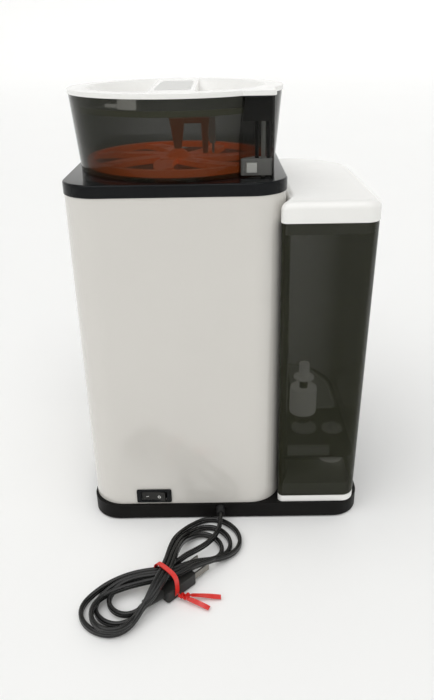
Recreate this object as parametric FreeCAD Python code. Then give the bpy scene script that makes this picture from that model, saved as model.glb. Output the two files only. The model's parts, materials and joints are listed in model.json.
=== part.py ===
import FreeCAD, Part
import math
import os

from FreeCAD import Vector

# Countertop powder-and-water dispenser, seen from behind: a white body with a black base and
# top deck, a round smoke hopper with a mixing wheel on top, a smoke water tank at one side,
# a rocker switch, and a flat mains lead tied in a figure-eight hank behind it.
# Millimetres. Rear is +Y, the tank is on -X, +Z is up, and Z = 0 is the table.

# ---- driving dimensions -------------------------------------------------------------------
body_width = 168.5
body_depth = 266.0
body_corner = 28.0
body_wall = 2.5
tank_width = 67.5
tank_depth = 187.0
tank_wall = 2.5
tank_taper = 3.0
tank_to_body = 1.5
base_side_margin = 1.95
base_end_margin = 2.0
base_corner = 24.0
foot_proud = 1.5
base_height = 14.4
ledge_height = 6.3
plinth_rise = 11.0
body_height = 274.9
deck_height = 9.5
deck_overhang = 0.55
hopper_height = 57.2
hopper_top_radius = 84.0
hopper_taper = 5.0
hopper_wall = 2.2
lid_rim_height = 3.5
lid_overhang = 0.8
lid_skirt_height = 8.2
seal_height = 4.2
tank_height = 247.7
tank_lid_height = 16.0
tank_lid_overhang = 0.5
tank_floor_drop = 39.0
tank_floor_thickness = 2.5
head_height = 85.8
column_depth = 187.0
niche_width = 124.0
niche_depth = 46.0
tray_width = 116.0
tray_height = 17.0
wheel_gap = 2.8
wheel_height = 5.0
float_radius = 12.45
float_height = 26.4
float_travel = 9.0
lead_width = 5.75
switch_width = 31.0
switch_height = 13.6

# ---- clearances ---------------------------------------------------------------------------
seat_gap = 0.3
slide_gap = 0.4
running_gap = 0.1

# ---- positions worked out from the driving dimensions ---------------------------------------
overall_width = base_side_margin + tank_width + tank_to_body + body_width + deck_overhang
overall_depth = body_depth + 2 * base_end_margin
half_width = overall_width / 2
hopper_bottom_radius = hopper_top_radius - hopper_taper
wheel_radius = hopper_bottom_radius - hopper_wall - wheel_gap
half_depth = overall_depth / 2
rear_y = half_depth - base_end_margin
head_front_y = -half_depth + base_end_margin * 4
column_front_y = rear_y - column_depth
body_right_x = half_width - deck_overhang
body_left_x = body_right_x - body_width
body_x = (body_right_x + body_left_x) / 2
tank_inner_x = body_left_x - tank_to_body
tank_outer_x = tank_inner_x - tank_width
tank_front_y = rear_y - tank_depth
base_top = foot_proud + base_height
ledge_top = base_top + ledge_height
plinth_top = ledge_top + plinth_rise
body_top = base_top + body_height
deck_top = body_top + deck_height
head_bottom = body_top - head_height
hopper_y = rear_y - hopper_top_radius
hopper_floor_z = deck_top + seat_gap
hopper_rim_z = deck_top + hopper_height
lid_top = hopper_rim_z + lid_rim_height
tank_top = ledge_top + tank_height
tank_floor_z = ledge_top + tank_floor_drop
niche_back_y = column_front_y + niche_depth

base_floor = 3.0
base_wall = 3.0
pan_floor_z = foot_proud + base_floor
foot_radius = 9.0
foot_height = 3.0
screw_radius = 1.5
screw_head_radius = 3.5
screw_head_height = 2.2
boss_radius = 5.0
boss_height = 12.0
screw_inset = 12.0
foot_inset = 26.0

outlet_offset = 72.0
outlet_radius = 9.0
outlet_y = hopper_y - outlet_offset
chute_wall = 2.0
funnel_offset = 27.0
funnel_y = outlet_y - funnel_offset
funnel_mouth_radius = 36.0
funnel_spout_radius = 9.0
funnel_wall = 1.8
funnel_drop = 24.0
funnel_flange_z = head_bottom + 9.5
funnel_flange_height = 2.5
funnel_flange_half = 40.0
funnel_front_height = 14.0
funnel_throat_half = 38.0

dog_size = 6.0
dog_height = 3.2
shaft_radius = 5.0
hub_radius = 8.0
floor_thickness = 2.0
gear_module = 1.5
gear_teeth = 32
pinion_teeth = 10
gear_height = 6.0
gear_drop = 8.0
motor_radius = 18.0
motor_length = 45.0
plate_thickness = 2.0
plate_drop = 4.0

valve_x = tank_outer_x + 18.5
valve_y = rear_y - 45.0
valve_tube_radius = 9.0
valve_tube_wall = 2.0
valve_stem_radius = 2.5
spring_length = 9.2
valve_head_radius = 9.6
socket_radius = 11.0
socket_height = 13.3
float_x = tank_inner_x - 23.2
float_y = rear_y - 62.0
float_stem_radius = 3.8

column_inset = 10.0
column_width = 26.3
column_stand_off = 9.1
column_wall = 1.5
column_x0 = body_x - hopper_top_radius + column_inset
column_x1 = column_x0 + column_width
column_offset = body_x - (column_x0 + column_x1) / 2
column_rear_y = hopper_y + math.sqrt(hopper_top_radius ** 2 - column_offset ** 2) + column_stand_off

# ---- the mains lead and its hank ------------------------------------------------------------
lead_exit_x = 4.9
lead_exit_z = 11.0
gland_radius = 4.4
gland_tip_radius = 3.5
gland_length = 20.0
gland_proud = 8.0
lead_points = [
    (4.9, 143.0, 11.0),
    (5.0, 151.0, 10.9),
    (6.4, 159.5, 9.8),
    (10.0, 169.0, 8.9),
    (16.5, 179.0, 9.6),
    (24.5, 188.5, 12.0),
    (33.0, 197.0, 14.2),
    (38.2, 203.2, 14.8),
]
hank_centre = Vector(46.0, 216.0, 0.0)
hank_turn = -135.1
hank_reach = (88.0, 75.0)
hank_bend = 0.165
hank_half_width = 27.0
lobe_height = 5.8
lobe_neck = 9.0
waist_height = 11.2
waist_half_width = 9.5
waist_half_length = 15.0
ramp_reach = (58.0, -56.0)
ramp_knee = (40.0, -40.0)
ramp_side = (-12.0, 1.0)
strand_height = 6.0
plug_y = -5.0
plug_half_width = 9.0
plug_height = 10.2
plug_back = -14.0
plug_front = 16.0
plug_neck = -30.0
plug_bottom = 1.2
plug_top = plug_bottom + plug_height
plug_mid = plug_bottom + plug_height / 2
plug_clearance = 1.0
plug_corner = 1.8
neck_radius = 3.4
neck_root_radius = 4.9
pin_length = 16.0
pin_half_width = 3.1
pin_half_thickness = 0.75
pin_spacing = 12.7
tie_x = -7.0
tie_width = 4.0
tie_thickness = 0.8
tie_slack = 0.4
tie_groove = 0.85
tie_tails = ((18.4, -39.0), (4.3, -40.5))
knot_radius = 2.6
knot_length = 7.0
knot_z = 3.2
tail_z = 2.0


# ---- shape helpers --------------------------------------------------------------------------
def box(x0, x1, y0, y1, z0, z1):
    return Part.makeBox(x1 - x0, y1 - y0, z1 - z0, Vector(x0, y0, z0))


def post(x, y, z0, z1, radius):
    return Part.makeCylinder(radius, z1 - z0, Vector(x, y, z0))


def cone(x, y, z0, z1, radius0, radius1):
    if abs(radius0 - radius1) < 1e-6:
        return post(x, y, z0, z1, radius0)
    return Part.makeCone(radius0, radius1, z1 - z0, Vector(x, y, z0))


def rod(start, end, radius):
    a = Vector(*start)
    b = Vector(*end)
    return Part.makeCylinder(radius, (b - a).Length, a, b - a)


def join(shapes):
    first, rest = shapes[0], shapes[1:]
    return first.fuse(rest).removeSplitter() if rest else first


def rounded_wire(corners, z):
    """Closed wire through (x, y, radius) corners, each corner rounded by a tangent arc."""
    edges = []
    ends = []
    count = len(corners)
    for i in range(count):
        x, y, radius = corners[i]
        p = Vector(x, y, z)
        before = Vector(corners[i - 1][0], corners[i - 1][1], z) - p
        after = Vector(corners[(i + 1) % count][0], corners[(i + 1) % count][1], z) - p
        before.normalize()
        after.normalize()
        half = before.getAngle(after) / 2
        reach = radius / math.tan(half)
        bisector = before + after
        bisector.normalize()
        centre = p + bisector * (radius / math.sin(half))
        start = p + before * reach
        end = p + after * reach
        ends.append((start, Part.Arc(start, centre - bisector * radius, end), end))
    for i in range(count):
        start, arc, end = ends[i]
        edges.append(arc.toShape())
        following = ends[(i + 1) % count][0]
        if (following - end).Length > 1e-6:
            edges.append(Part.LineSegment(end, following).toShape())
    return Part.Wire(edges)


def prism(corners, z0, z1):
    face = Part.Face(rounded_wire(corners, z0))
    return face.extrude(Vector(0, 0, z1 - z0))


def loft(corners0, z0, corners1, z1):
    return Part.makeLoft([rounded_wire(corners0, z0), rounded_wire(corners1, z1)], True, True)


def rectangle(x0, x1, y0, y1, rear_radius, front_radius):
    return [(x0, y0, front_radius), (x1, y0, front_radius), (x1, y1, rear_radius), (x0, y1, rear_radius)]


def block(x0, x1, y0, y1, z0, z1, radius):
    return prism(rectangle(x0, x1, y0, y1, radius, radius), z0, z1)


def around(shape, x, y, count):
    copies = []
    for i in range(count):
        copy = shape.copy()
        copy.rotate(Vector(x, y, 0), Vector(0, 0, 1), 360.0 * i / count)
        copies.append(copy)
    return copies


def bent_path(points):
    """Straight runs joined by tangent arcs, each as large as its two runs allow."""
    corners = [Vector(*p) for p in points]
    edges = []
    radii = []
    last = corners[0]
    for a, p, b in zip(corners, corners[1:], corners[2:]):
        inward = a - p
        outward = b - p
        half_turn = (math.pi - inward.getAngle(outward)) / 2
        reach = 0.45 * min(inward.Length, outward.Length)
        radius = reach / math.tan(half_turn)
        inward.normalize()
        outward.normalize()
        bisector = inward + outward
        bisector.normalize()
        start = p + inward * reach
        end = p + outward * reach
        middle = p + bisector * (radius / math.cos(half_turn) - radius)
        edges.append(Part.LineSegment(last, start).toShape())
        edges.append(Part.Arc(start, middle, end).toShape())
        radii.append(radius)
        last = end
    edges.append(Part.LineSegment(last, corners[-1]).toShape())
    return Part.Wire(edges), radii


def tube_along(points, radius):
    path, radii = bent_path(points)
    direction = Vector(*points[1]) - Vector(*points[0])
    section = Part.Wire(Part.makeCircle(radius, Vector(*points[0]), direction))
    return path.makePipeShell([section], True, True), path, radii


# ---- base -----------------------------------------------------------------------------------
def body_outline(inset, front_y):
    return rectangle(body_left_x + inset, body_right_x - inset, front_y + inset, rear_y - inset,
                     body_corner - inset, body_corner - inset)


def foot_places():
    x = half_width - foot_inset
    y = half_depth - foot_inset
    return [(sx * x, sy * y) for sx in (-1, 1) for sy in (-1, 1)]


def screw_places():
    y0 = niche_back_y + screw_inset
    y1 = rear_y - screw_inset * 2
    return [(x, y) for x in (body_left_x + screw_inset, body_right_x - screw_inset) for y in (y0, y1)]


def tray_slot(gap):
    half = tray_width / 2 + gap
    return box(body_x - half, body_x + half, -half_depth - 1, niche_back_y - slide_gap + gap,
               pan_floor_z, base_top + 1)


def base_pan():
    outer = block(-half_width, half_width, -half_depth, half_depth, foot_proud, base_top, base_corner)
    hollow = prism(body_outline(base_wall, column_front_y), pan_floor_z, base_top + 1)
    tank_hollow = prism(tank_outline(base_wall, tank_taper), pan_floor_z, base_top + 1)
    channel = box(valve_x, body_left_x + body_corner, valve_y - 30, valve_y, pan_floor_z, base_top - 3)
    rail = tray_width / 2 + base_wall + slide_gap
    tray_walls = box(body_x - rail, body_x + rail, column_front_y, niche_back_y + base_wall, foot_proud,
                     base_top)
    pan = outer.cut([hollow, tank_hollow, channel]).fuse(tray_walls.common(outer)).cut(tray_slot(slide_gap))
    for x, y in screw_places():
        pan = pan.fuse(post(x, y, foot_proud, base_top, boss_radius))
        pan = pan.cut(post(x, y, 0, base_top + 1, screw_radius + running_gap))
        pan = pan.cut(post(x, y, 0, foot_proud + screw_head_height, screw_head_radius + running_gap))
    for x, y in foot_places():
        pan = pan.cut(post(x, y, 0, foot_height, foot_radius))
    for i in range(9):
        x = body_x - 40 + 10 * i
        pan = pan.cut(block(x - 1.5, x + 1.5, 40, 80, 0, pan_floor_z + 1, 1.4))
    cord_hole = rod((lead_exit_x, rear_y - base_wall - 1, lead_exit_z),
                    (lead_exit_x, half_depth + 1, lead_exit_z), gland_radius + running_gap)
    return pan.cut(cord_hole).removeSplitter()


def rubber_feet():
    return [post(x, y, 0, foot_height, foot_radius) for x, y in foot_places()]


def base_screws():
    screws = []
    for x, y in screw_places():
        head = post(x, y, foot_proud + running_gap, foot_proud + screw_head_height, screw_head_radius)
        shank = post(x, y, foot_proud + screw_head_height, base_top + boss_height - 1, screw_radius)
        recess = box(x - screw_head_radius, x + screw_head_radius, y - 0.4, y + 0.4, 0, foot_proud + 1)
        screws.append(head.cut(recess).fuse(shank))
    return screws


# ---- tank outline and its deck --------------------------------------------------------------
nose_angle = math.radians(23.3)
nose_start_y = rear_y - 21.0
nose_fillet = 4.5
tank_front_outer_radius = 55.0
tank_rear_outer_radius = 12.0
tank_front_inner_radius = 8.0
tank_concave_radius = 29.5


def tank_outline(inset, taper):
    """Tank plan with a nose that tucks round the body's rear corner; inset is inwards."""
    x0 = tank_outer_x + inset + taper
    x1 = tank_inner_x - inset - taper
    y0 = tank_front_y + inset + taper
    y1 = rear_y - inset
    nose_y = nose_start_y + inset * math.tan(nose_angle / 2)
    nose_x = x1 + (y1 - nose_y) * math.tan(nose_angle)
    inner_radius = tank_front_inner_radius - inset
    outer_radius = min(tank_front_outer_radius - inset, x1 - x0 - inner_radius - 1.0)
    return [
        (x0, y0, outer_radius),
        (x1, y0, inner_radius),
        (x1, nose_y, tank_concave_radius),
        (nose_x, y1, nose_fillet - min(inset, 3.5)),
        (x0, y1, tank_rear_outer_radius - inset),
    ]


def tank_deck():
    plinth_inset = tank_wall + 1.2
    deck_skin = 2.5
    ledge = prism(tank_outline(0, tank_taper), base_top, ledge_top)
    plinth = prism(tank_outline(plinth_inset, tank_taper), ledge_top - 0.5, plinth_top)
    pocket_low = prism(tank_outline(deck_skin, tank_taper), base_top - 1, ledge_top - deck_skin)
    pocket_high = prism(tank_outline(plinth_inset + deck_skin, tank_taper), base_top - 1,
                        plinth_top - deck_skin)
    deck = ledge.fuse(plinth).cut([pocket_low, pocket_high])
    return deck.cut(post(valve_x, valve_y, base_top, plinth_top + 1, socket_radius - 2)).removeSplitter()


def inlet_socket():
    bore = valve_tube_radius + slide_gap
    body = post(valve_x, valve_y, plinth_top, plinth_top + socket_height, socket_radius)
    neck = post(valve_x, valve_y, plinth_top - 6, plinth_top, socket_radius - 2 - running_gap)
    body = body.fuse(neck).cut(post(valve_x, valve_y, plinth_top + 2, plinth_top + socket_height + 1, bore))
    pin = post(valve_x, valve_y, plinth_top + 1, plinth_top + pin_height, 2.0)
    drain = post(valve_x + 6, valve_y, plinth_top - 7, plinth_top + 3, 1.5)
    spigot = post(valve_x, valve_y, plinth_top - 14, plinth_top - 6, 3.0)
    return join([body, pin, spigot]).cut(drain)


# ---- body -----------------------------------------------------------------------------------
panel_half_width = 54.0
panel_bottom = head_bottom + 20.0
panel_top = body_top - 8.0
panel_mid = (panel_bottom + panel_top) / 2
panel_thickness = 3.0
panel_proud = 1.5
button_radius = 6.6
button_pitch = 24.0
button_travel = 0.8
button_z = panel_mid - 13.0
button_names = ["button_start", "button_volume", "button_strength", "button_warmth"]
switch_x = 63.95
switch_z = base_top + 3.1 + switch_height / 2 - 0.9
switch_depth = 12.0
rocker_half_width = 10.4
rocker_half_height = 4.4
rocker_tilt = 6.0
rocker_pivot_depth = 3.0
rocker_pivot_radius = 2.6


def button_x(index):
    return body_x + (index - 1.5) * button_pitch


def rear_housing():
    column = prism(rectangle(body_left_x, body_right_x, column_front_y, rear_y, body_corner, 10),
                   base_top, head_bottom)
    head = prism(body_outline(0, head_front_y), head_bottom, body_top)
    column_hollow = prism(rectangle(body_left_x + body_wall, body_right_x - body_wall,
                                    column_front_y + body_wall, rear_y - body_wall,
                                    body_corner - body_wall, 10 - body_wall),
                          base_top - 1, head_bottom + body_wall + 0.5)
    head_hollow = prism(body_outline(body_wall, head_front_y), head_bottom + body_wall, body_top + 1)
    shell = column.fuse(head).cut([column_hollow, head_hollow])
    niche_half = niche_width / 2
    niche = box(body_x - niche_half, body_x + niche_half, column_front_y - 1,
                column_front_y + body_wall + 1, base_top - 1, head_bottom)
    throat = box(body_x - funnel_throat_half, body_x + funnel_throat_half, head_front_y - 1,
                 niche_back_y - 2, head_bottom - 1, head_bottom + body_wall + 1)
    front_half = funnel_flange_half + 2 + slide_gap
    drawer = box(body_x - front_half, body_x + front_half, head_front_y - 1,
                 head_front_y + body_wall + 1, head_bottom - 1, head_bottom + funnel_front_height)
    window = box(body_x - panel_half_width + 6, body_x + panel_half_width - 6, head_front_y - 1,
                 head_front_y + body_wall + 1, panel_bottom + 5, panel_top - 5)
    switch_hole = box(switch_x - switch_width / 2 + 2, switch_x + switch_width / 2 - 2,
                      rear_y - body_wall - 1, rear_y + 1,
                      switch_z - switch_height / 2 + 2, switch_z + switch_height / 2 - 2)
    shell = shell.cut([niche, throat, drawer, window, switch_hole])
    bosses = []
    for x, y in screw_places():
        boss = post(x, y, base_top, base_top + boss_height, boss_radius)
        web_x = body_left_x if x < body_x else body_right_x
        low, high = sorted([x, web_x])
        web = box(low, high, y - 1, y + 1, base_top, base_top + boss_height).common(column)
        bosses.append(boss.fuse(web).cut(post(x, y, 0, base_top + boss_height - 1,
                                              screw_radius + running_gap / 2)))
    return join([shell] + bosses)


def niche_liner():
    wall = 2.0
    half = niche_width / 2
    outer = box(body_x - half, body_x + half, column_front_y, niche_back_y + wall, base_top, head_bottom)
    inner = box(body_x - half + wall, body_x + half - wall, column_front_y - 1, niche_back_y,
                base_top - 1, head_bottom + 1)
    return outer.cut(inner)


def shaft_hole():
    return post(body_x, hopper_y, body_top - 1, deck_top + 1, shaft_radius + running_gap)


post_spacing = motor_radius + 16.0


def deck_posts():
    return [(body_x + sx * post_spacing, hopper_y + sy * post_spacing) for sx in (-1, 1) for sy in (-1, 1)]


deck_skin = 3.0
deck_rim = 2.5
deck_fillet = 1.6
chute_gap = 2.0
post_radius = 3.0


def top_deck():
    outer = prism(body_outline(-deck_overhang, head_front_y), body_top, deck_top)
    top_edges = [e for e in outer.Edges if min(v.Z for v in e.Vertexes) > deck_top - 0.01]
    outer = outer.makeFillet(deck_fillet, top_edges)
    pocket = prism(body_outline(deck_rim, head_front_y), body_top - 1, deck_top - deck_skin)
    chute_outer = outlet_radius + chute_wall
    chute_bottom = funnel_flange_z + funnel_flange_height + chute_gap
    chute = post(body_x, outlet_y, chute_bottom, deck_top - deck_skin, chute_outer)
    boss = post(body_x, hopper_y, body_top - 1, deck_top - deck_skin, shaft_radius + 4)
    legs = [post(x, y, body_top - gear_drop - gear_height - plate_drop, deck_top - deck_skin, post_radius)
            for x, y in deck_posts()]
    deck = join([outer.cut(pocket), chute, boss] + legs)
    bores = [
        post(body_x, outlet_y, head_bottom, deck_top + 1, outlet_radius),
        shaft_hole(),
        post(rod_x, rod_y, body_top, deck_top + 1, rod_radius + slide_gap),
    ]
    return deck.cut(bores)


rod_x = column_x0 + 8.0
rod_y = column_rear_y - 6.0
rod_radius = 1.6


# ---- front controls -------------------------------------------------------------------------
def control_panel():
    y0 = head_front_y - panel_proud
    plate = box(body_x - panel_half_width, body_x + panel_half_width, y0, head_front_y,
                panel_bottom, panel_top)
    corners = [e for e in plate.Edges if abs(e.Vertexes[0].Y - e.Vertexes[1].Y) > panel_proud - 0.01]
    plate = plate.makeFillet(6.0, corners)
    tongue = box(body_x - panel_half_width + 6 + running_gap, body_x + panel_half_width - 6 - running_gap,
                 head_front_y, head_front_y + panel_thickness - panel_proud,
                 panel_bottom + 5 + running_gap, panel_top - 5 - running_gap)
    panel = plate.fuse(tongue)
    for i in range(len(button_names)):
        panel = panel.cut(rod((button_x(i), y0 - 1, button_z), (button_x(i), head_front_y + 6, button_z),
                              button_radius + seat_gap))
    return panel.cut(lens_box(running_gap))


def lens_box(gap):
    return box(body_x - 30 - gap, body_x + 30 + gap, head_front_y - panel_proud - gap,
               head_front_y - 0.2, panel_mid + 2 - gap, panel_mid + 20 + gap)


def display_lens():
    return lens_box(0)


def control_button(index):
    x = button_x(index)
    y0 = head_front_y - panel_proud - button_travel - 0.2
    cap = rod((x, y0, button_z), (x, head_front_y + 3.5, button_z), button_radius)
    flange = rod((x, head_front_y + 2.0, button_z), (x, head_front_y + 3.5, button_z), button_radius + 1.4)
    return cap.fuse(flange)


def control_board():
    y0 = head_front_y + panel_thickness + 4.0
    board = box(body_x - 46, body_x + 46, y0, y0 + 1.6, panel_bottom + 4, panel_top - 4)
    posts = [rod((body_x + sx * 43.5, head_front_y + 1.5, panel_mid + sz * 21),
                 (body_x + sx * 43.5, y0, panel_mid + sz * 21), 2.0) for sx in (-1, 1) for sz in (-1, 1)]
    domes = [rod((button_x(i), y0 - 1.6, button_z), (button_x(i), y0, button_z), 3.0)
             for i in range(len(button_names))]
    return join([board] + posts + domes)


def switch_bezel():
    half = switch_width / 2
    half_height = switch_height / 2
    flange = box(switch_x - half, switch_x + half, rear_y, rear_y + 1.6,
                 switch_z - half_height, switch_z + half_height)
    corners = [e for e in flange.Edges if abs(e.Vertexes[0].Y - e.Vertexes[1].Y) > 1.5]
    flange = flange.makeFillet(1.5, corners)
    can = box(switch_x - half + 2.2, switch_x + half - 2.2, rear_y - switch_depth, rear_y,
              switch_z - half_height + 2.2, switch_z + half_height - 2.2)
    pocket = box(switch_x - rocker_half_width - 0.8, switch_x + rocker_half_width + 0.8,
                 rear_y - 8, rear_y + 2, switch_z - rocker_half_height - slide_gap / 2,
                 switch_z + rocker_half_height + slide_gap / 2)
    tabs = [box(switch_x + dx - 1, switch_x + dx + 1, rear_y - switch_depth - 6, rear_y - switch_depth,
                switch_z - 2, switch_z + 2) for dx in (-6, 6)]
    return join([flange, can] + tabs).cut(pocket)


def power_rocker():
    w = rocker_half_width
    outline = [(-w, -3.0), (-w, 2.4), (-w / 2, 1.2), (0, 0.8), (w / 2, 1.2), (w, 2.4), (w, -3.0), (0, -5.0)]
    points = [Vector(switch_x + x, rear_y + y, switch_z - rocker_half_height) for x, y in outline]
    face = Part.Face(Part.makePolygon(points + [points[0]]))
    rocker = face.extrude(Vector(0, 0, rocker_half_height * 2))
    rocker.rotate(Vector(switch_x, rear_y - rocker_pivot_depth, 0), Vector(0, 0, 1), -rocker_tilt)
    pivot = post(switch_x, rear_y - rocker_pivot_depth, switch_z - rocker_half_height,
                 switch_z + rocker_half_height, rocker_pivot_radius)
    return rocker.fuse(pivot)


# ---- inside the body ------------------------------------------------------------------------
pump_x = body_x - 30.0
supply_depth = 26.0
supply_rear_gap = 4.0
supply_front_y = rear_y - body_wall - supply_rear_gap - supply_depth
pump_to_supply = 25.5
pump_y = supply_front_y - pump_to_supply
pump_bottom = pan_floor_z + 14.0
heater_x = body_x + 36.0
heater_y = hopper_y - 8.0
heater_bottom = pan_floor_z + 34.0
heater_length = 96.0
heater_radius = 22.0
heater_top = heater_bottom + heater_length
hose_radius = 3.2
nozzle_y = funnel_y - 16.0
nozzle_z = funnel_flange_z + funnel_flange_height + 3.0


chamber_height = 22.0
chamber_half = 17.0
chamber_corner = 5.0
pump_motor_height = 40.0
pump_motor_radius = 14.0
pump_leg = 13.0
pump_leg_radius = 3.0
port_reach = 25.0
port_low = 6.0
port_high = 14.0
port_radius = 3.2
port_length = 8.0
heater_fillet = 3.0
heater_port_z = heater_bottom + 12.0
heater_leg_x = 14.0
heater_leg_half = 2.0
heater_leg_depth = 8.0
heater_leg_overlap = 6.0


def water_pump():
    motor = post(pump_x, pump_y, pump_bottom + chamber_height,
                 pump_bottom + chamber_height + pump_motor_height, pump_motor_radius)
    chamber = block(pump_x - chamber_half, pump_x + chamber_half, pump_y - chamber_half,
                    pump_y + chamber_half, pump_bottom, pump_bottom + chamber_height, chamber_corner)
    legs = [post(pump_x + sx * pump_leg, pump_y + sy * pump_leg, pan_floor_z, pump_bottom, pump_leg_radius)
            for sx in (-1, 1) for sy in (-1, 1)]
    intake = rod((pump_x - port_reach, pump_y, pump_bottom + port_low),
                 (pump_x - chamber_half, pump_y, pump_bottom + port_low), port_radius)
    outlet = rod((pump_x + chamber_half, pump_y, pump_bottom + port_high),
                 (pump_x + port_reach, pump_y, pump_bottom + port_high), port_radius)
    return join([motor, chamber, intake, outlet] + legs)


def heater_tank():
    can = post(heater_x, heater_y, heater_bottom, heater_top, heater_radius)
    can = can.makeFillet(heater_fillet, [can.Edges[0], can.Edges[2]])
    legs = []
    for side in (-1, 1):
        x = heater_x + side * heater_leg_x
        legs.append(box(x - heater_leg_half, x + heater_leg_half, heater_y - heater_leg_depth,
                        heater_y + heater_leg_depth, pan_floor_z, heater_bottom + heater_leg_overlap))
    intake = rod((heater_x - heater_radius - port_length, heater_y, heater_port_z),
                 (heater_x - heater_radius / 2, heater_y, heater_port_z), port_radius)
    outlet = post(heater_x, heater_y, heater_top, heater_top + port_length, port_radius)
    return join([can, intake, outlet] + legs)


def hoses():
    low = pan_floor_z + 4.0
    feed = [(valve_x, valve_y, plinth_top - 14), (valve_x, valve_y - 8, low),
            (valve_x + 26, valve_y - 12, low), (body_left_x + 10, valve_y - 12, low + 0.5),
            (pump_x - 33, pump_y, pump_bottom + 2), (pump_x - port_reach, pump_y, pump_bottom + port_low)]
    rise = [(pump_x + port_reach, pump_y, pump_bottom + port_high),
            (pump_x + 32, pump_y - 2, pump_bottom + 18),
            (heater_x - heater_radius - 18, heater_y + 8, heater_bottom + 4),
            (heater_x - heater_radius - port_length, heater_y, heater_port_z)]
    top = heater_top + port_length
    spout_z = nozzle_z + 30
    out = [(heater_x, heater_y, top), (heater_x, heater_y - 4, top + 30),
           (heater_x - 4, heater_y - 40, spout_z + 20), (body_x + 6, nozzle_y + 12, spout_z + 14),
           (body_x, nozzle_y, spout_z)]
    return [tube_along(points, hose_radius)[0] for points in (feed, rise, out)]


def water_nozzle():
    tip = cone(body_x, nozzle_y, nozzle_z, nozzle_z + 8, 2.5, 5.0)
    barrel = post(body_x, nozzle_y, nozzle_z + 8, nozzle_z + 30, 5.0)
    hanger = box(body_x - 12, body_x - 4, nozzle_y - 2, nozzle_y + 2, nozzle_z + 14, deck_top - deck_skin)
    return join([tip, barrel, hanger]).cut(post(body_x, nozzle_y, nozzle_z - 1, nozzle_z + 29, 1.6))


supply_inset = 22.0
supply_length = 64.0
supply_height = 44.0
supply_lift = 40.0
supply_legs = (6.0, 50.0)
supply_leg_width = 4.0
supply_leg_inset = 5.0
fin_count = 10
fin_pitch = 6.0
fin_width = 2.0
fin_height = 6.0


def power_supply():
    x0 = body_left_x + supply_inset
    y1 = supply_front_y + supply_depth
    z0 = pan_floor_z + supply_lift
    z1 = z0 + supply_height
    case = box(x0, x0 + supply_length, supply_front_y, y1, z0, z1)
    legs = [box(x0 + dx, x0 + dx + supply_leg_width, supply_front_y + supply_leg_inset,
                y1 - supply_leg_inset, pan_floor_z, z0) for dx in supply_legs]
    first = x0 + supply_leg_width
    fins = []
    for i in range(fin_count):
        x = first + fin_pitch * i
        fins.append(box(x, x + fin_width, supply_front_y, y1, z1, z1 + fin_height))
    return join([case] + legs + fins)


board_bottom = heater_top + 10.0
board_height = 66.0
board_stand_off = 6.4
board_thickness = 1.6
spacer_inset = 6.0
spacer_radius = 2.5
chip_heights = (8.0, 4.0, 12.0, 6.0, 3.0)
chip_inset = 8.0
chip_pitch = 16.0
chip_low = 12.0
chip_step = 8.0
chip_width = 10.0
chip_length = 16.0


def main_board():
    x1 = body_right_x - body_wall
    y0 = niche_back_y + 12.0
    y1 = rear_y - 40.0
    z1 = board_bottom + board_height
    board_x = x1 - board_stand_off
    board = box(board_x - board_thickness, board_x, y0, y1, board_bottom, z1)
    spacers = [rod((board_x, y, z), (x1, y, z), spacer_radius)
               for y in (y0 + spacer_inset, y1 - spacer_inset)
               for z in (board_bottom + spacer_inset, z1 - spacer_inset)]
    chips = []
    for i, height in enumerate(chip_heights):
        y = y0 + chip_inset + chip_pitch * i
        z = board_bottom + chip_low + chip_step * (i % 3)
        chips.append(box(board_x - board_thickness - height, board_x - board_thickness,
                         y, y + chip_width, z, z + chip_length))
    return join([board] + spacers + chips)


# ---- wheel drive ----------------------------------------------------------------------------
motor_shaft_radius = 2.5
motor_cap_radius = 8.0
motor_cap_height = 4.0
plate_margin = 5.0
plate_corner = 5.0
gear_radius = gear_module * gear_teeth / 2
pinion_radius = gear_module * pinion_teeth / 2
gear_spacing = gear_radius + pinion_radius
gear_top = body_top - gear_drop
gear_bottom = gear_top - gear_height
plate_top = gear_bottom - plate_drop
motor_x = body_x + gear_spacing
tooth_depth = gear_module * 0.8
tooth_height = gear_module * 0.65
tooth_root_half = gear_module * 0.55
tooth_tip_half = gear_module * 0.3


def toothed_wheel(x, y, z0, z1, teeth, pitch_radius, phase):
    root = pitch_radius - tooth_depth
    tip = pitch_radius + tooth_height
    body = post(x, y, z0, z1, root)
    points = [Vector(x + root - 0.5, y - tooth_root_half, z0), Vector(x + tip, y - tooth_tip_half, z0),
              Vector(x + tip, y + tooth_tip_half, z0), Vector(x + root - 0.5, y + tooth_root_half, z0)]
    tooth = Part.Face(Part.makePolygon(points + [points[0]])).extrude(Vector(0, 0, z1 - z0))
    tooth.rotate(Vector(x, y, 0), Vector(0, 0, 1), phase)
    return join([body] + around(tooth, x, y, teeth))


def drive_gear():
    gear = toothed_wheel(body_x, hopper_y, gear_bottom, gear_top, gear_teeth, gear_radius, 0)
    shaft = post(body_x, hopper_y, plate_top + running_gap, hopper_floor_z, shaft_radius)
    half = dog_size / 2
    dog = box(body_x - half, body_x + half, hopper_y - half, hopper_y + half,
              hopper_floor_z - 1, hopper_floor_z + dog_height)
    return join([gear, shaft, dog])


def motor_pinion():
    pinion = toothed_wheel(motor_x, hopper_y, gear_bottom, gear_top, pinion_teeth, pinion_radius,
                           180.0 + 180.0 / pinion_teeth)
    return pinion.cut(post(motor_x, hopper_y, gear_bottom - 1, gear_top + 1,
                           motor_shaft_radius + running_gap))


def wheel_motor():
    can = post(motor_x, hopper_y, plate_top - plate_thickness - motor_length,
               plate_top - plate_thickness, motor_radius)
    shaft = post(motor_x, hopper_y, plate_top - plate_thickness - 1, gear_top, motor_shaft_radius)
    cap = post(motor_x, hopper_y, plate_top - plate_thickness - motor_length - motor_cap_height,
               plate_top - plate_thickness - motor_length, motor_cap_radius)
    return join([can, shaft, cap])


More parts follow.
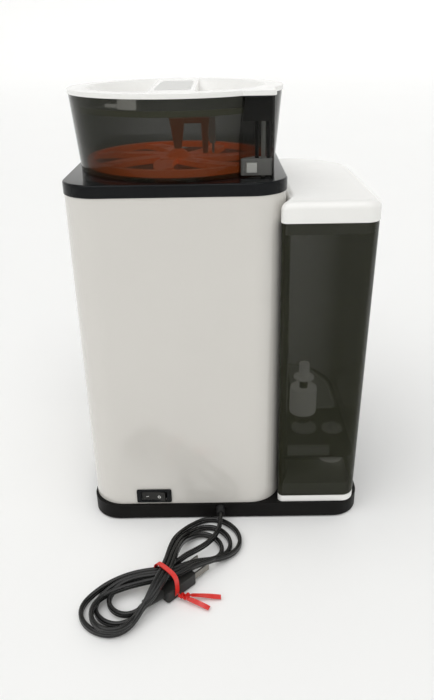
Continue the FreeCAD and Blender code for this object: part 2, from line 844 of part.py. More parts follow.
def motor_plate():
    spacing = post_spacing + plate_margin
    reach = gear_spacing + motor_radius + plate_margin / 2.5
    plate = block(body_x - spacing, body_x + max(spacing, reach), hopper_y - spacing, hopper_y + spacing,
                  plate_top - plate_thickness, plate_top, plate_corner)
    return plate.cut(post(motor_x, hopper_y, 0, plate_top + 1, motor_shaft_radius + running_gap))


# ---- funnel and drip tray -------------------------------------------------------------------
spout_length = 8.0
flange_margin = 2.0
drawer_grip_half = 14.0
drawer_grip_depth = 6.0
drawer_grip_height = 4.0
rail_gap = 0.5
rail_width = 6.0
rail_setback = 1.5
rail_cover = 3.0


def funnel():
    z1 = funnel_flange_z
    outer = cone(body_x, funnel_y, z1 - funnel_drop, z1, funnel_spout_radius, funnel_mouth_radius)
    spout = post(body_x, funnel_y, z1 - funnel_drop - spout_length, z1 - funnel_drop, funnel_spout_radius)
    flange = box(body_x - funnel_flange_half, body_x + funnel_flange_half,
                 head_front_y + 0.3, funnel_y + funnel_mouth_radius + flange_margin, z1,
                 z1 + funnel_flange_height)
    front_half = funnel_flange_half + flange_margin
    front = box(body_x - front_half, body_x + front_half, head_front_y, head_front_y + body_wall,
                head_bottom + seat_gap, head_bottom + funnel_front_height - seat_gap)
    grip_bottom = head_bottom + drawer_grip_height
    grip = box(body_x - drawer_grip_half, body_x + drawer_grip_half, head_front_y - drawer_grip_depth,
               head_front_y, grip_bottom, grip_bottom + drawer_grip_height)
    inner = cone(body_x, funnel_y, z1 - funnel_drop, z1 + funnel_flange_height + 0.01,
                 funnel_spout_radius - funnel_wall,
                 funnel_mouth_radius - funnel_wall
                 + funnel_flange_height * (funnel_mouth_radius - funnel_spout_radius) / funnel_drop * 0.2)
    bore = post(body_x, funnel_y, z1 - funnel_drop - spout_length - 1, z1 - funnel_drop + 1,
                funnel_spout_radius - funnel_wall)
    return join([outer, spout, flange, front, grip]).cut([inner, bore])


def funnel_rails():
    rails = []
    z0 = head_bottom + body_wall
    for side in (-1, 1):
        x_in = body_x + side * (funnel_throat_half + rail_gap)
        x_out = body_x + side * (funnel_flange_half + rail_width)
        low, high = sorted([x_in, x_out])
        rail = box(low, high, head_front_y + body_wall + rail_setback,
                   funnel_y + funnel_mouth_radius + flange_margin, z0,
                   funnel_flange_z + funnel_flange_height + rail_cover)
        groove_x = body_x + side * (funnel_flange_half + slide_gap)
        low, high = sorted([x_in - side, groove_x])
        groove = box(low, high, head_front_y, niche_back_y + 30, funnel_flange_z - seat_gap,
                     funnel_flange_z + funnel_flange_height + seat_gap)
        rails.append(rail.cut(groove))
    return rails


tray_wall = 2.0
tray_front_wall = 3.0
tray_rear_wall = 2.5
tray_floor = 2.0
grille_seat = 2.0
grille_drop = 3.0
grille_thickness = 2.5
slot_count = 13
slot_margin = 5.0
slot_half_width = 1.6
slot_end = 8.0
slot_bridge = 3.0
slot_corner = 1.5


def tray_space(inset, z1):
    """Room inside the tray's walls, with its sides moved inwards by the inset."""
    half = tray_width / 2 - tray_wall - inset
    return box(body_x - half, body_x + half, -half_depth + tray_front_wall + inset,
               niche_back_y - tray_rear_wall - inset, pan_floor_z + seat_gap + tray_floor, z1)


def drip_tray():
    half = tray_width / 2
    z0 = pan_floor_z + seat_gap
    z1 = z0 + tray_height
    outer = box(body_x - half, body_x + half, -half_depth, niche_back_y - slide_gap, z0, z1)
    ledge = tray_space(0, z1 - grille_drop).cut(tray_space(grille_seat, z1 + 1))
    return outer.cut(tray_space(0, z1 + 1)).fuse(ledge)


def drip_grille():
    half = tray_width / 2 - tray_wall - slide_gap
    z1 = pan_floor_z + seat_gap + tray_height
    y0 = -half_depth + tray_front_wall + slide_gap
    y1 = niche_back_y - tray_rear_wall - slide_gap
    bottom = z1 - grille_drop
    plate = box(body_x - half, body_x + half, y0, y1, bottom, bottom + grille_thickness)
    slots = []
    pitch = (y1 - y0 - 2 * slot_margin) / slot_count
    for i in range(slot_count):
        y = y0 + slot_margin + pitch * (i + 0.5)
        for x0, x1 in ((-half + slot_end, -slot_bridge), (slot_bridge, half - slot_end)):
            slots.append(block(body_x + x0, body_x + x1, y - slot_half_width, y + slot_half_width,
                               bottom - 1, z1, slot_corner))
    return plate.cut(slots)


# ---- hopper ---------------------------------------------------------------------------------
def hopper_cone(inset, z0, z1):
    slope = (hopper_top_radius - hopper_bottom_radius) / (hopper_rim_z - hopper_floor_z)
    r0 = hopper_bottom_radius - inset + slope * (z0 - hopper_floor_z)
    r1 = hopper_bottom_radius - inset + slope * (z1 - hopper_floor_z)
    return cone(body_x, hopper_y, z0, z1, r0, r1)


def hopper_shell():
    shell = hopper_cone(0, hopper_floor_z, hopper_rim_z)
    shell = shell.cut(hopper_cone(hopper_wall, hopper_floor_z + floor_thickness, hopper_rim_z + 1))
    shell = shell.cut(post(body_x, hopper_y, hopper_floor_z - 1, hopper_rim_z, hub_radius + seat_gap))
    return shell.cut(post(body_x, outlet_y, hopper_floor_z - 1, hopper_floor_z + 5, outlet_radius - 1))


seal_radius = hopper_top_radius - hopper_wall - 1.2
skirt_radius = seal_radius - 0.5
skirt_wall = 2.0


def column_outline(inset):
    return [(column_x0 + inset, hopper_y, 2.0), (column_x1 - inset, hopper_y, 2.0),
            (column_x1 - inset, column_rear_y - inset, 4.0 - inset),
            (column_x0 + inset, column_rear_y - inset, 4.0 - inset)]


def lid_lug(gap):
    return prism([(column_x0 - gap, hopper_y, 2.0), (column_x1 + gap, hopper_y, 2.0),
                  (column_x1 + gap, column_rear_y + gap, 5.0), (column_x0 - gap, column_rear_y + gap, 5.0)],
                 hopper_rim_z, lid_top)


grip_half = 17.0
dish_depth = 14.0
dish_inset = 12.0
dish_slope = 16.0
dish_wall = 2.5
lug_margin = 1.0


def lid_dish(side):
    """One finger scoop as its outer pan and its hollow, on one side of the grip bar."""
    radius = hopper_top_radius - dish_inset
    far_x = body_x + side * hopper_top_radius * 2
    bar_x = body_x + side * grip_half
    wall_x = bar_x - side * dish_wall
    hollow = cone(body_x, hopper_y, lid_top - dish_depth, lid_top + 1, radius - dish_slope, radius)
    pan = cone(body_x, hopper_y, lid_top - dish_depth - dish_wall, lid_top - 0.5,
               radius - dish_slope + 2, radius + 2)
    spaces = [box(min(x, far_x), max(x, far_x), hopper_y - 200, hopper_y + 200, 0, lid_top + 10)
              for x in (wall_x, bar_x)]
    return pan.common(spaces[0]), hollow.common(spaces[1])


def hopper_lid():
    plate = post(body_x, hopper_y, hopper_rim_z, lid_top, hopper_top_radius + lid_overhang)
    plate = plate.fuse(lid_lug(lug_margin)).removeSplitter()
    skirt_bottom = hopper_rim_z - lid_skirt_height
    skirt = post(body_x, hopper_y, skirt_bottom, hopper_rim_z, skirt_radius)
    skirt = skirt.cut(post(body_x, hopper_y, skirt_bottom - 1, hopper_rim_z + 1, skirt_radius - skirt_wall))
    lid = plate.fuse(skirt)
    for side in (-1, 1):
        pan, hollow = lid_dish(side)
        lid = lid.fuse(pan).cut(hollow)
    return lid.removeSplitter()


def lid_latch():
    """Small finger tab let into the skirt's outer face, near the rear."""
    x0 = body_x + 23.6
    x1 = body_x + 37.2
    z0 = hopper_rim_z - 7.2
    ring = post(body_x, hopper_y, z0, hopper_rim_z, seal_radius)
    ring = ring.cut(post(body_x, hopper_y, z0 - 1, hopper_rim_z + 1, skirt_radius + 0.02))
    wide = box(x0, x1, hopper_y, rear_y, z0, hopper_rim_z)
    thin = box(x1, x1 + 9.6, hopper_y, rear_y, z0 + 1.2, z0 + 3.4)
    return ring.common(wide.fuse(thin))


def lid_seal():
    z1 = hopper_rim_z - lid_skirt_height
    ring = post(body_x, hopper_y, z1 - seal_height, z1, seal_radius - 0.6)
    return ring.cut(post(body_x, hopper_y, z1 - seal_height - 1, z1 + 1, seal_radius - 4.0))


wheel_arms = 7
wheel_rim = 5.0
hub_rise = 2.0
dome_rise = 4.5
dome_radius = 17.0
dome_tip_radius = 3.0
socket_headroom = 0.5
arm_rim_overlap = 3.0
arm_step = 1.0
arm_root = 10.0
arm_root_rear = 6.0
arm_root_front = 8.0
arm_mid = (0.55, 0.127)
arm_tip = (0.86, 0.500)
arm_inner_tip = (0.74, 0.660)
arm_inner_mid = (0.45, 0.310)


def mixing_wheel():
    z0 = hopper_floor_z + floor_thickness + seat_gap
    z1 = z0 + wheel_height
    rim = post(body_x, hopper_y, z0, z1, wheel_radius)
    rim = rim.cut(post(body_x, hopper_y, z0 - 1, z1 + 1, wheel_radius - wheel_rim))
    hub = post(body_x, hopper_y, hopper_floor_z, z0 + hub_rise, hub_radius)
    dome = cone(body_x, hopper_y, z0, z1 + dome_rise, dome_radius, dome_tip_radius)
    arms = around(swirl_arm(z0, z1), body_x, hopper_y, wheel_arms)
    wheel = join([rim, hub, dome] + arms)
    half = dog_size / 2 + seat_gap
    socket = box(body_x - half, body_x + half, hopper_y - half, hopper_y + half,
                 hopper_floor_z - 1, hopper_floor_z + dog_height + socket_headroom)
    return wheel.cut(socket)


def swirl_arm(z0, z1):
    """Curved blade from the hub to the rim, between two arcs through the hub and the rim."""
    reach = wheel_radius - arm_rim_overlap

    def spot(across, along):
        return Vector(body_x + across, hopper_y + along, z0)

    outer_edge = [spot(arm_root, -arm_root_rear), spot(reach * arm_mid[0], reach * arm_mid[1]),
                  spot(reach * arm_tip[0], reach * arm_tip[1])]
    inner_edge = [spot(reach * arm_inner_tip[0], reach * arm_inner_tip[1]),
                  spot(reach * arm_inner_mid[0], reach * arm_inner_mid[1]),
                  spot(arm_root - 4.0, arm_root_front)]
    edges = [Part.Arc(*outer_edge).toShape(), Part.LineSegment(outer_edge[2], inner_edge[0]).toShape(),
             Part.Arc(*inner_edge).toShape(), Part.LineSegment(inner_edge[2], outer_edge[0]).toShape()]
    return Part.Face(Part.Wire(edges)).extrude(Vector(0, 0, z1 - z0 - arm_step))


stirrer_drop = 9.0
stirrer_top = hopper_rim_z - lid_skirt_height - seal_height - stirrer_drop
wheel_top = hopper_floor_z + floor_thickness + seat_gap + wheel_height
shaft_foot_radius = 3.0
shaft_head_radius = 6.5
arm_length = 26.0
arm_half_width = 3.2
arm_height = 4.0
tine_offset = 22.5
tine_foot_radius = 2.2
tine_head_radius = 3.5
tine_clearance = 0.5
blade_width = 5.0
blade_height = 20.0
blade_half_thickness = 1.2
wiper_clearance = 0.5
wiper_stem_half = 1.0


def stirrer():
    dome_top = wheel_top + dome_rise
    shaft = cone(body_x, hopper_y, dome_top, stirrer_top, shaft_foot_radius, shaft_head_radius)
    arm = box(body_x - arm_length, body_x, hopper_y - arm_half_width, hopper_y + arm_half_width,
              stirrer_top - arm_height, stirrer_top)
    tine = cone(body_x - tine_offset, hopper_y, wheel_top + tine_clearance, stirrer_top,
                tine_foot_radius, tine_head_radius)
    return join([shaft, arm, tine])


def wiper():
    x1 = body_x - arm_length
    x0 = x1 - blade_width
    stem_x = (x0 + x1) / 2 - tine_clearance
    y0 = hopper_y - blade_half_thickness
    y1 = hopper_y + blade_half_thickness
    blade = box(x0, x1, y0, y1, stirrer_top - blade_height, stirrer_top)
    stem = box(stem_x - wiper_stem_half, stem_x + wiper_stem_half, y0, y1, wheel_top + wiper_clearance,
               stirrer_top - blade_height)
    return blade.fuse(stem)


def lock_column():
    z1 = hopper_rim_z - seat_gap
    casing = prism(column_outline(0), hopper_floor_z, z1)
    hollow = prism(column_outline(column_wall), hopper_floor_z + column_wall, z1 + 1)
    catch_hole = box(catch_x0 - slide_gap, catch_x1 + slide_gap, column_rear_y - column_wall - 1,
                     column_rear_y + 1, catch_z0 - slide_gap, catch_z1 + slide_gap)
    rod_hole = post(rod_x, rod_y, 0, hopper_floor_z + column_wall + 1, rod_radius + slide_gap)
    return casing.cut([hollow, hopper_cone(0, hopper_floor_z, hopper_rim_z + 1), catch_hole, rod_hole,
                       box(column_x0 - 1, column_x1 + 1, hopper_y - 5, hopper_y + 38, 0, lid_top)])


catch_x0 = column_x0 + 13.0
catch_x1 = column_x0 + 20.5
catch_z0 = hopper_floor_z + 3.9
catch_z1 = catch_z0 + 7.0


def column_fill(y0, z0, z1):
    solid = prism(column_outline(column_wall + 0.1), z0, z1)
    front = box(column_x0, column_x1, hopper_y - 1, y0, z0 - 1, z1 + 1)
    return solid.cut([front, hopper_cone(-0.1, hopper_floor_z, hopper_rim_z + 1)])


def lock_base():
    z0 = hopper_floor_z + column_wall
    solid = column_fill(column_rear_y - 12, z0, z0 + 12.0)
    pocket = box(catch_x0 - slide_gap, catch_x1 + slide_gap, column_rear_y - 8, column_rear_y + 1,
                 catch_z0 - slide_gap, catch_z1 + slide_gap)
    return solid.cut([pocket, post(rod_x, rod_y, 0, z0 + 13, rod_radius + slide_gap)])


def lock_catch():
    return box(catch_x0, catch_x1, column_rear_y - 5, column_rear_y + 1.2, catch_z0, catch_z1)


def lock_block():
    z1 = hopper_rim_z - seat_gap
    solid = column_fill(column_rear_y - 10, z1 - 17.0, z1 - 0.5)
    guides = [post(column_x0 + dx, column_rear_y - 4.5, hopper_floor_z + column_wall + 12,
                   z1 - 17.0, 1.5) for dx in (4.3, 12.8)]
    return join([solid] + guides).cut(post(rod_x, rod_y, 0, z1 + 1, rod_radius + slide_gap))


def interlock_rod():
    return post(rod_x, rod_y, body_top + 4.0, hopper_rim_z - seat_gap, rod_radius)


# ---- tank -----------------------------------------------------------------------------------
def tank_wall_loft(inset, z0, z1):
    """Tapered tank volume between two heights, with its walls moved inwards by the inset."""
    share0 = (tank_top - z0) / tank_height
    share1 = (tank_top - z1) / tank_height
    return loft(tank_outline(inset, tank_taper * share0), z0, tank_outline(inset, tank_taper * share1), z1)


def tank_shell():
    outer = tank_wall_loft(0, ledge_top + seat_gap, tank_top)
    upper = tank_wall_loft(tank_wall, tank_floor_z, tank_top + 0.5)
    lower = tank_wall_loft(tank_wall, ledge_top, tank_floor_z - tank_wall)
    return outer.cut([upper, lower, post(valve_x, valve_y, ledge_top, tank_floor_z + 1, valve_tube_radius)])


def tank_floor():
    slab = tank_wall_loft(tank_wall + 0.2, tank_floor_z, tank_floor_z + tank_floor_thickness)
    return slab.cut(post(valve_x, valve_y, ledge_top, floor_top_z + 1, valve_tube_radius - valve_tube_wall))


valve_tube_bottom = plinth_top + socket_height - 6.5
guide_bottom = tank_floor_z - 8.0
guide_height = 2.0
collar_bottom = plinth_top + socket_height - 4.8
collar_height = 1.2
spring_wire = 0.45
pin_height = 2.6


def valve_tube():
    outer = post(valve_x, valve_y, valve_tube_bottom, tank_floor_z, valve_tube_radius)
    inner_radius = valve_tube_radius - valve_tube_wall
    tube = outer.cut(post(valve_x, valve_y, valve_tube_bottom - 1, tank_floor_z + 1, inner_radius))
    bar = box(valve_x - inner_radius - 1, valve_x + inner_radius + 1, valve_y - 1.5, valve_y + 1.5,
              guide_bottom, guide_bottom + guide_height)
    ring = post(valve_x, valve_y, guide_bottom, guide_bottom + guide_height, valve_stem_radius + 2)
    bore = post(valve_x, valve_y, guide_bottom - 1, guide_bottom + guide_height + 1,
                valve_stem_radius + running_gap)
    return join([tube, bar, ring]).cut(bore)


def valve_plunger():
    stem_bottom = plinth_top + pin_height + seat_gap
    seat = tank_floor_z + tank_floor_thickness + running_gap
    stem = post(valve_x, valve_y, stem_bottom, seat, valve_stem_radius)
    head = post(valve_x, valve_y, seat, seat + 1.6, valve_head_radius)
    nub = cone(valve_x, valve_y, seat + 1.6, seat + 7.5, 4.5, 1.8)
    collar = post(valve_x, valve_y, collar_bottom, collar_bottom + collar_height, valve_stem_radius + 2.6)
    return join([stem, head, nub, collar])


def valve_spring():
    turns = 5
    coil_radius = valve_stem_radius + 1.6
    helix = Part.makeHelix(spring_length / turns, spring_length, coil_radius)
    section = Part.Wire(Part.makeCircle(spring_wire, Vector(coil_radius, 0, 0), Vector(0, 1, 0)))
    spring = Part.Wire(helix.Edges).makePipeShell([section], True, True)
    spring.translate(Vector(valve_x, valve_y, collar_bottom + collar_height + spring_wire + 0.05))
    return spring


pedestal_height = 9.5
pedestal_radius = 8.1
stem_step = 0.5
float_fillet = 1.5
cap_flange_height = 1.6
cap_flange_radius = 9.35
cap_tip_height = 15.0
cap_tip_radius = 4.75
floor_top_z = tank_floor_z + tank_floor_thickness
stem_top_z = floor_top_z + pedestal_height + stem_step + float_height + float_travel


def float_base():
    pedestal = post(float_x, float_y, floor_top_z, floor_top_z + pedestal_height, pedestal_radius)
    stem = post(float_x, float_y, floor_top_z + pedestal_height, stem_top_z, float_stem_radius)
    return pedestal.fuse(stem)


def level_float():
    z0 = floor_top_z + pedestal_height + seat_gap
    drum = post(float_x, float_y, z0, z0 + float_height, float_radius)
    drum = drum.makeFillet(float_fillet, [drum.Edges[0], drum.Edges[2]])
    return drum.cut(post(float_x, float_y, z0 - 1, z0 + float_height + 1, float_stem_radius + seat_gap))


def float_cap():
    flange = post(float_x, float_y, stem_top_z, stem_top_z + cap_flange_height, cap_flange_radius)
    tip = post(float_x, float_y, stem_top_z + cap_flange_height, stem_top_z + cap_tip_height,
               cap_tip_radius)
    return flange.fuse(tip)


disc_offset = 14.3
disc_radius = 11.5
disc_height = 1.4
disc_rim = 1.3
disc_skin = 0.8
bar_length = 36.0
bar_depth = 4.2
bar_height = 8.0
bar_wall_gap = 0.3
bar_side_gap = 4.0


def tank_fittings():
    y = float_y + disc_offset
    disc = post(float_x, y, floor_top_z, floor_top_z + disc_height, disc_radius)
    disc = disc.cut([post(float_x, y, floor_top_z + disc_skin, floor_top_z + 2, disc_radius - disc_rim),
                     post(float_x, float_y, floor_top_z - 1, floor_top_z + 3, pedestal_radius + seat_gap)])
    y1 = rear_y - tank_wall - bar_wall_gap
    x1 = tank_inner_x - bar_side_gap
    bar = box(x1 - bar_length, x1, y1 - bar_depth, y1, floor_top_z, floor_top_z + bar_height)
    return [disc, bar]


strainer_height = 2.4
strainer_web = 0.8
strainer_rim = 2.0
strainer_outer_gap = 9.0
strainer_inner_gap = 19.5
strainer_front_gap = 12.0
strainer_rear_gap = 82.0
tank_lid_fillet = 6.0
tank_lid_thickness = 3.0
lid_plug_depth = 9.5
lid_plug_wall = 1.8


def strainer():
    x0 = tank_outer_x + strainer_outer_gap
    x1 = tank_inner_x - strainer_inner_gap
    y0 = tank_front_y + strainer_front_gap
    y1 = rear_y - strainer_rear_gap
    rim = strainer_rim
    outline = [(x0, y0 + 42, 30.0), (x0 + 20, y0, 14.0), (x1, y0, 6.0), (x1, y1, 6.0), (x0, y1, 6.0)]
    inner = [(x0 + rim, y0 + 43, 28.0), (x0 + 21, y0 + rim, 12.0), (x1 - rim, y0 + rim, 4.0),
             (x1 - rim, y1 - rim, 4.0), (x0 + rim, y1 - rim, 4.0)]
    frame = prism(outline, floor_top_z, floor_top_z + strainer_height)
    return frame.cut(prism(inner, floor_top_z + strainer_web, floor_top_z + strainer_height + 1))


def tank_lid():
    upper = tank_top + tank_lid_height
    top = prism(tank_outline(-tank_lid_overhang, 0), tank_top, upper)
    edges = [e for e in top.Edges if min(v.Z for v in e.Vertexes) > upper - 0.01]
    top = top.makeFillet(tank_lid_fillet, edges)
    lid_plug = tank_wall + seat_gap + 0.2
    plug_inside = prism(tank_outline(lid_plug + lid_plug_wall, 0), tank_top - lid_plug_depth - 1,
                        upper - tank_lid_thickness)
    plug = prism(tank_outline(lid_plug, 0), tank_top - lid_plug_depth, tank_top + 0.5)
    return top.fuse(plug).cut(plug_inside).removeSplitter()


# ---- mains lead -----------------------------------------------------------------------------
def placed_on_hank(shape):
    shape.rotate(Vector(0, 0, 0), Vector(0, 0, 1), hank_turn)
    shape.translate(hank_centre)
    return shape


def cord_gland():
    y1 = half_depth + gland_proud
    y0 = y1 - gland_length
    tail = Part.makeCone(gland_radius, gland_tip_radius, gland_length, Vector(lead_exit_x, y0, lead_exit_z),
                         Vector(0, 1, 0))
    flange = rod((lead_exit_x, rear_y - base_wall - 1.6, lead_exit_z),
                 (lead_exit_x, rear_y - base_wall - 0.1, lead_exit_z), gland_radius + 0.8)
    return tail.fuse(flange)


def cord_lead():
    tube, path, radii = tube_along(lead_points, lead_width / 2)
    volume = math.pi * (lead_width / 2) ** 2 * path.Length
    print("lead length", round(path.Length, 1), "radii", [round(r, 1) for r in radii],
          "volume share", round(tube.Volume / volume, 3))
    return tube


def lobe(side, reach):
    """One flat loop of strands: a disc and the wedge that leads to it from the waist."""
    centre_x = side * (reach - hank_half_width)
    centre_y = hank_bend * abs(centre_x)
    r = hank_half_width
    points = [Vector(0, -lobe_neck, 0), Vector(centre_x, centre_y - r, 0),
              Vector(centre_x, centre_y + r, 0), Vector(0, lobe_neck, 0)]
    wedge = Part.Face(Part.makePolygon(points + [points[0]])).extrude(Vector(0, 0, lobe_height))
    return post(centre_x, centre_y, 0, lobe_height, r).fuse(wedge)


def ramp(side, end_x, knee_x):
    """Strands that climb from the floor over the plug to the waist."""
    root_x = side * (waist_half_length - plug_clearance)
    inner_x = side * (abs(knee_x) - strand_height)
    profile = [(root_x, plug_top), (root_x, plug_top + waist_height), (knee_x, 2 * strand_height),
               (end_x, lobe_height), (end_x, 0), (inner_x, 0), (inner_x, plug_top - plug_clearance)]
    points = [Vector(x, ramp_side[0], z) for x, z in profile]
    face = Part.Face(Part.makePolygon(points + [points[0]]))
    return face.extrude(Vector(0, ramp_side[1] - ramp_side[0], 0))


def cord_hank():
    """Figure-eight hank that lies over its plug, with a groove for the tie."""
    waist = box(-waist_half_length, waist_half_length, -waist_half_width, waist_half_width,
                plug_top, plug_top + waist_height)
    plug_space = box(plug_neck - plug_clearance, plug_front + pin_length + plug_clearance,
                     plug_y - plug_half_width - plug_clearance, plug_y + plug_half_width + plug_clearance,
                     -1, plug_top + running_gap)
    ramps = [ramp(side, end_x, knee_x) for side, end_x, knee_x in zip((1, -1), ramp_reach, ramp_knee)]
    hank = join([lobe(1, hank_reach[0]), lobe(-1, hank_reach[1]), waist] + ramps)
    return placed_on_hank(hank.cut([plug_space, tie_ring(tie_groove)]))


def mains_plug():
    body = block(plug_back, plug_front, plug_y - plug_half_width, plug_y + plug_half_width,
                 plug_bottom, plug_top, plug_corner)
    neck = Part.makeCone(neck_radius, neck_root_radius, plug_back - plug_neck + 1,
                         Vector(plug_neck, plug_y, plug_mid), Vector(1, 0, 0))
    return placed_on_hank(body.fuse(neck))


def plug_pins():
    pins = []
    for side in (-1, 1):
        y = plug_y + side * pin_spacing / 2
        pin = box(plug_front, plug_front + pin_length, y - pin_half_thickness, y + pin_half_thickness,
                  plug_mid - pin_half_width, plug_mid + pin_half_width)
        pins.append(placed_on_hank(pin))
    return pins


def tie_ring(thickness):
    y0 = plug_y - plug_half_width - tie_slack
    y1 = waist_half_width + tie_slack
    z1 = plug_top + waist_height + tie_slack
    outer = box(tie_x, tie_x + tie_width, y0 - thickness, y1 + thickness, 0, z1 + thickness)
    return outer.cut(box(tie_x - 1, tie_x + tie_width + 1, y0, y1, thickness, z1))


def tie_tail(end_x, end_y, start_y):
    start = Vector(tie_x + tie_width / 2, start_y, tail_z)
    end = Vector(end_x, end_y, tail_z)
    across = (end - start).cross(Vector(0, 0, 1))
    across.normalize()
    across = across * (tie_width / 2)
    points = [start - across, end - across, end + across, start + across]
    return Part.Face(Part.makePolygon(points + [points[0]])).extrude(Vector(0, 0, tie_thickness))


def cord_tie():
    knot_y = plug_y - plug_half_width - tie_slack - knot_radius
    knot = Part.makeCylinder(knot_radius, knot_length,
                             Vector(tie_x + (tie_width - knot_length) / 2, knot_y, knot_z), Vector(1, 0, 0))
    tails = [tie_tail(end_x, end_y, knot_y) for end_x, end_y in tie_tails]
    return placed_on_hank(join([tie_ring(tie_thickness), knot] + tails))


# ---- write every piece ----------------------------------------------------------------------
pieces = {
    "base_pan": base_pan,
    "rubber_feet": rubber_feet,
    "base_screws": base_screws,
    "tank_deck": tank_deck,
    "inlet_socket": inlet_socket,
    "rear_housing": rear_housing,
    "niche_liner": niche_liner,
    "top_deck": top_deck,
    "control_panel": control_panel,
    "display_lens": display_lens,
    "control_board": control_board,
    "switch_bezel": switch_bezel,
    "power_rocker": power_rocker,
    "water_pump": water_pump,
    "heater_tank": heater_tank,
    "hoses": hoses,
    "water_nozzle": water_nozzle,
    "power_supply": power_supply,
    "main_board": main_board,
    "drive_gear": drive_gear,
    "motor_pinion": motor_pinion,
    "wheel_motor": wheel_motor,
    "motor_plate": motor_plate,
    "funnel": funnel,
    "funnel_rails": funnel_rails,
    "drip_tray": drip_tray,
    "drip_grille": drip_grille,
    "hopper_shell": hopper_shell,
    "hopper_lid": hopper_lid,
    "lid_latch": lid_latch,
    "lid_seal": lid_seal,
    "mixing_wheel": mixing_wheel,
    "stirrer": stirrer,
    "wiper": wiper,
    "lock_column": lock_column,
    "lock_base": lock_base,
    "lock_catch": lock_catch,
    "lock_block": lock_block,
    "interlock_rod": interlock_rod,
    "tank_shell": tank_shell,
    "tank_floor": tank_floor,
    "valve_tube": valve_tube,
    "valve_plunger": valve_plunger,
    "valve_spring": valve_spring,
    "float_base": float_base,
    "level_float": level_float,
    "float_cap": float_cap,
    "tank_fittings": tank_fittings,
    "strainer": strainer,
    "tank_lid": tank_lid,
    "cord_gland": cord_gland,
    "cord_lead": cord_lead,
    "cord_hank": cord_hank,
    "mains_plug": mains_plug,
    "plug_pins": plug_pins,
    "cord_tie": cord_tie,
}
for index, name in enumerate(button_names):
    pieces[name] = lambda index=index: control_button(index)


def solids_of(shape):
    shapes = shape if isinstance(shape, list) else [shape]
    return [solid for item in shapes for solid in item.Solids]


os.makedirs("parts", exist_ok=True)
for name, make in pieces.items():
    solids = solids_of(make())
    body = solids[0] if len(solids) == 1 else Part.makeCompound(solids)
    body.exportStep("parts/" + name + ".step")
    valid = all(solid.isValid() and solid.Volume > 0 for solid in solids)
    print(name, len(solids), "solids", round(body.Volume), "mm3", "" if valid else "INVALID")
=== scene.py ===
import json
import math

import bmesh
import bpy
import numpy as np
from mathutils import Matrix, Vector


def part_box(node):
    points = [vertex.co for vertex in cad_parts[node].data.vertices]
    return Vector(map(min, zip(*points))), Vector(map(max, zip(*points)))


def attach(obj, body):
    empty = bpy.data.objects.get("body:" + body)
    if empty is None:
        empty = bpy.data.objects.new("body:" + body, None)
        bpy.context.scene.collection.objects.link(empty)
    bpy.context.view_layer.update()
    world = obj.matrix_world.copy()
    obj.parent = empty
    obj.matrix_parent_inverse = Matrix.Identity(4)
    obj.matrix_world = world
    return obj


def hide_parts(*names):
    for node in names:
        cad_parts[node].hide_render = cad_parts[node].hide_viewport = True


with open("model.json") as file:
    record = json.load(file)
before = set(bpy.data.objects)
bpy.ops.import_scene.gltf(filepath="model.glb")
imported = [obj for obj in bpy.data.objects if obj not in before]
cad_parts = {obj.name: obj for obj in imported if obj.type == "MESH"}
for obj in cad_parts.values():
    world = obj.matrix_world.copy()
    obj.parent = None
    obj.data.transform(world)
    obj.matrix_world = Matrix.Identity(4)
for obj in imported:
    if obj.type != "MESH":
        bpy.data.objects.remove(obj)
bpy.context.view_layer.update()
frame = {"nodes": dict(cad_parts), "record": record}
mm = 0.001
nodes = frame["nodes"]

# camera, set behind the machine and above it
camera = {
    "place": (3.012, 612.498, 398.984),    # mm
    "turn": (64.3075, 0.9077, 179.8785),  # degrees, X then Y then Z
    "lens": 34.15,
    "sensor": 36.0,
    "near": 0.01,  # metres
}


def setCamera():
    data = bpy.data.cameras.new("rearCamera")
    data.lens = camera["lens"]
    data.sensor_width = camera["sensor"]
    data.clip_start = camera["near"]
    view = bpy.data.objects.new("rearCamera", data)
    view.location = [v * mm for v in camera["place"]]
    view.rotation_euler = [math.radians(a) for a in camera["turn"]]
    bpy.context.scene.collection.objects.link(view)
    bpy.context.scene.camera = view
    print("camera set")


setCamera()


# shader writing: a wrapped socket adds Math nodes for + - and *
class Signal:
    def __init__(self, tree, socket):
        self.tree = tree
        self.socket = socket

    def math(self, operation, first, second):
        node = self.tree.nodes.new("ShaderNodeMath")
        node.operation = operation
        for slot, value in zip(node.inputs, (first, second)):
            if isinstance(value, Signal):
                self.tree.links.new(value.socket, slot)
            else:
                slot.default_value = value
        return Signal(self.tree, node.outputs[0])

    def __add__(self, other):
        return self.math("ADD", self, other)

    def __radd__(self, other):
        return self.math("ADD", other, self)

    def __sub__(self, other):
        return self.math("SUBTRACT", self, other)

    def __rsub__(self, other):
        return self.math("SUBTRACT", other, self)

    def __mul__(self, other):
        return self.math("MULTIPLY", self, other)

    def __rmul__(self, other):
        return self.math("MULTIPLY", other, self)


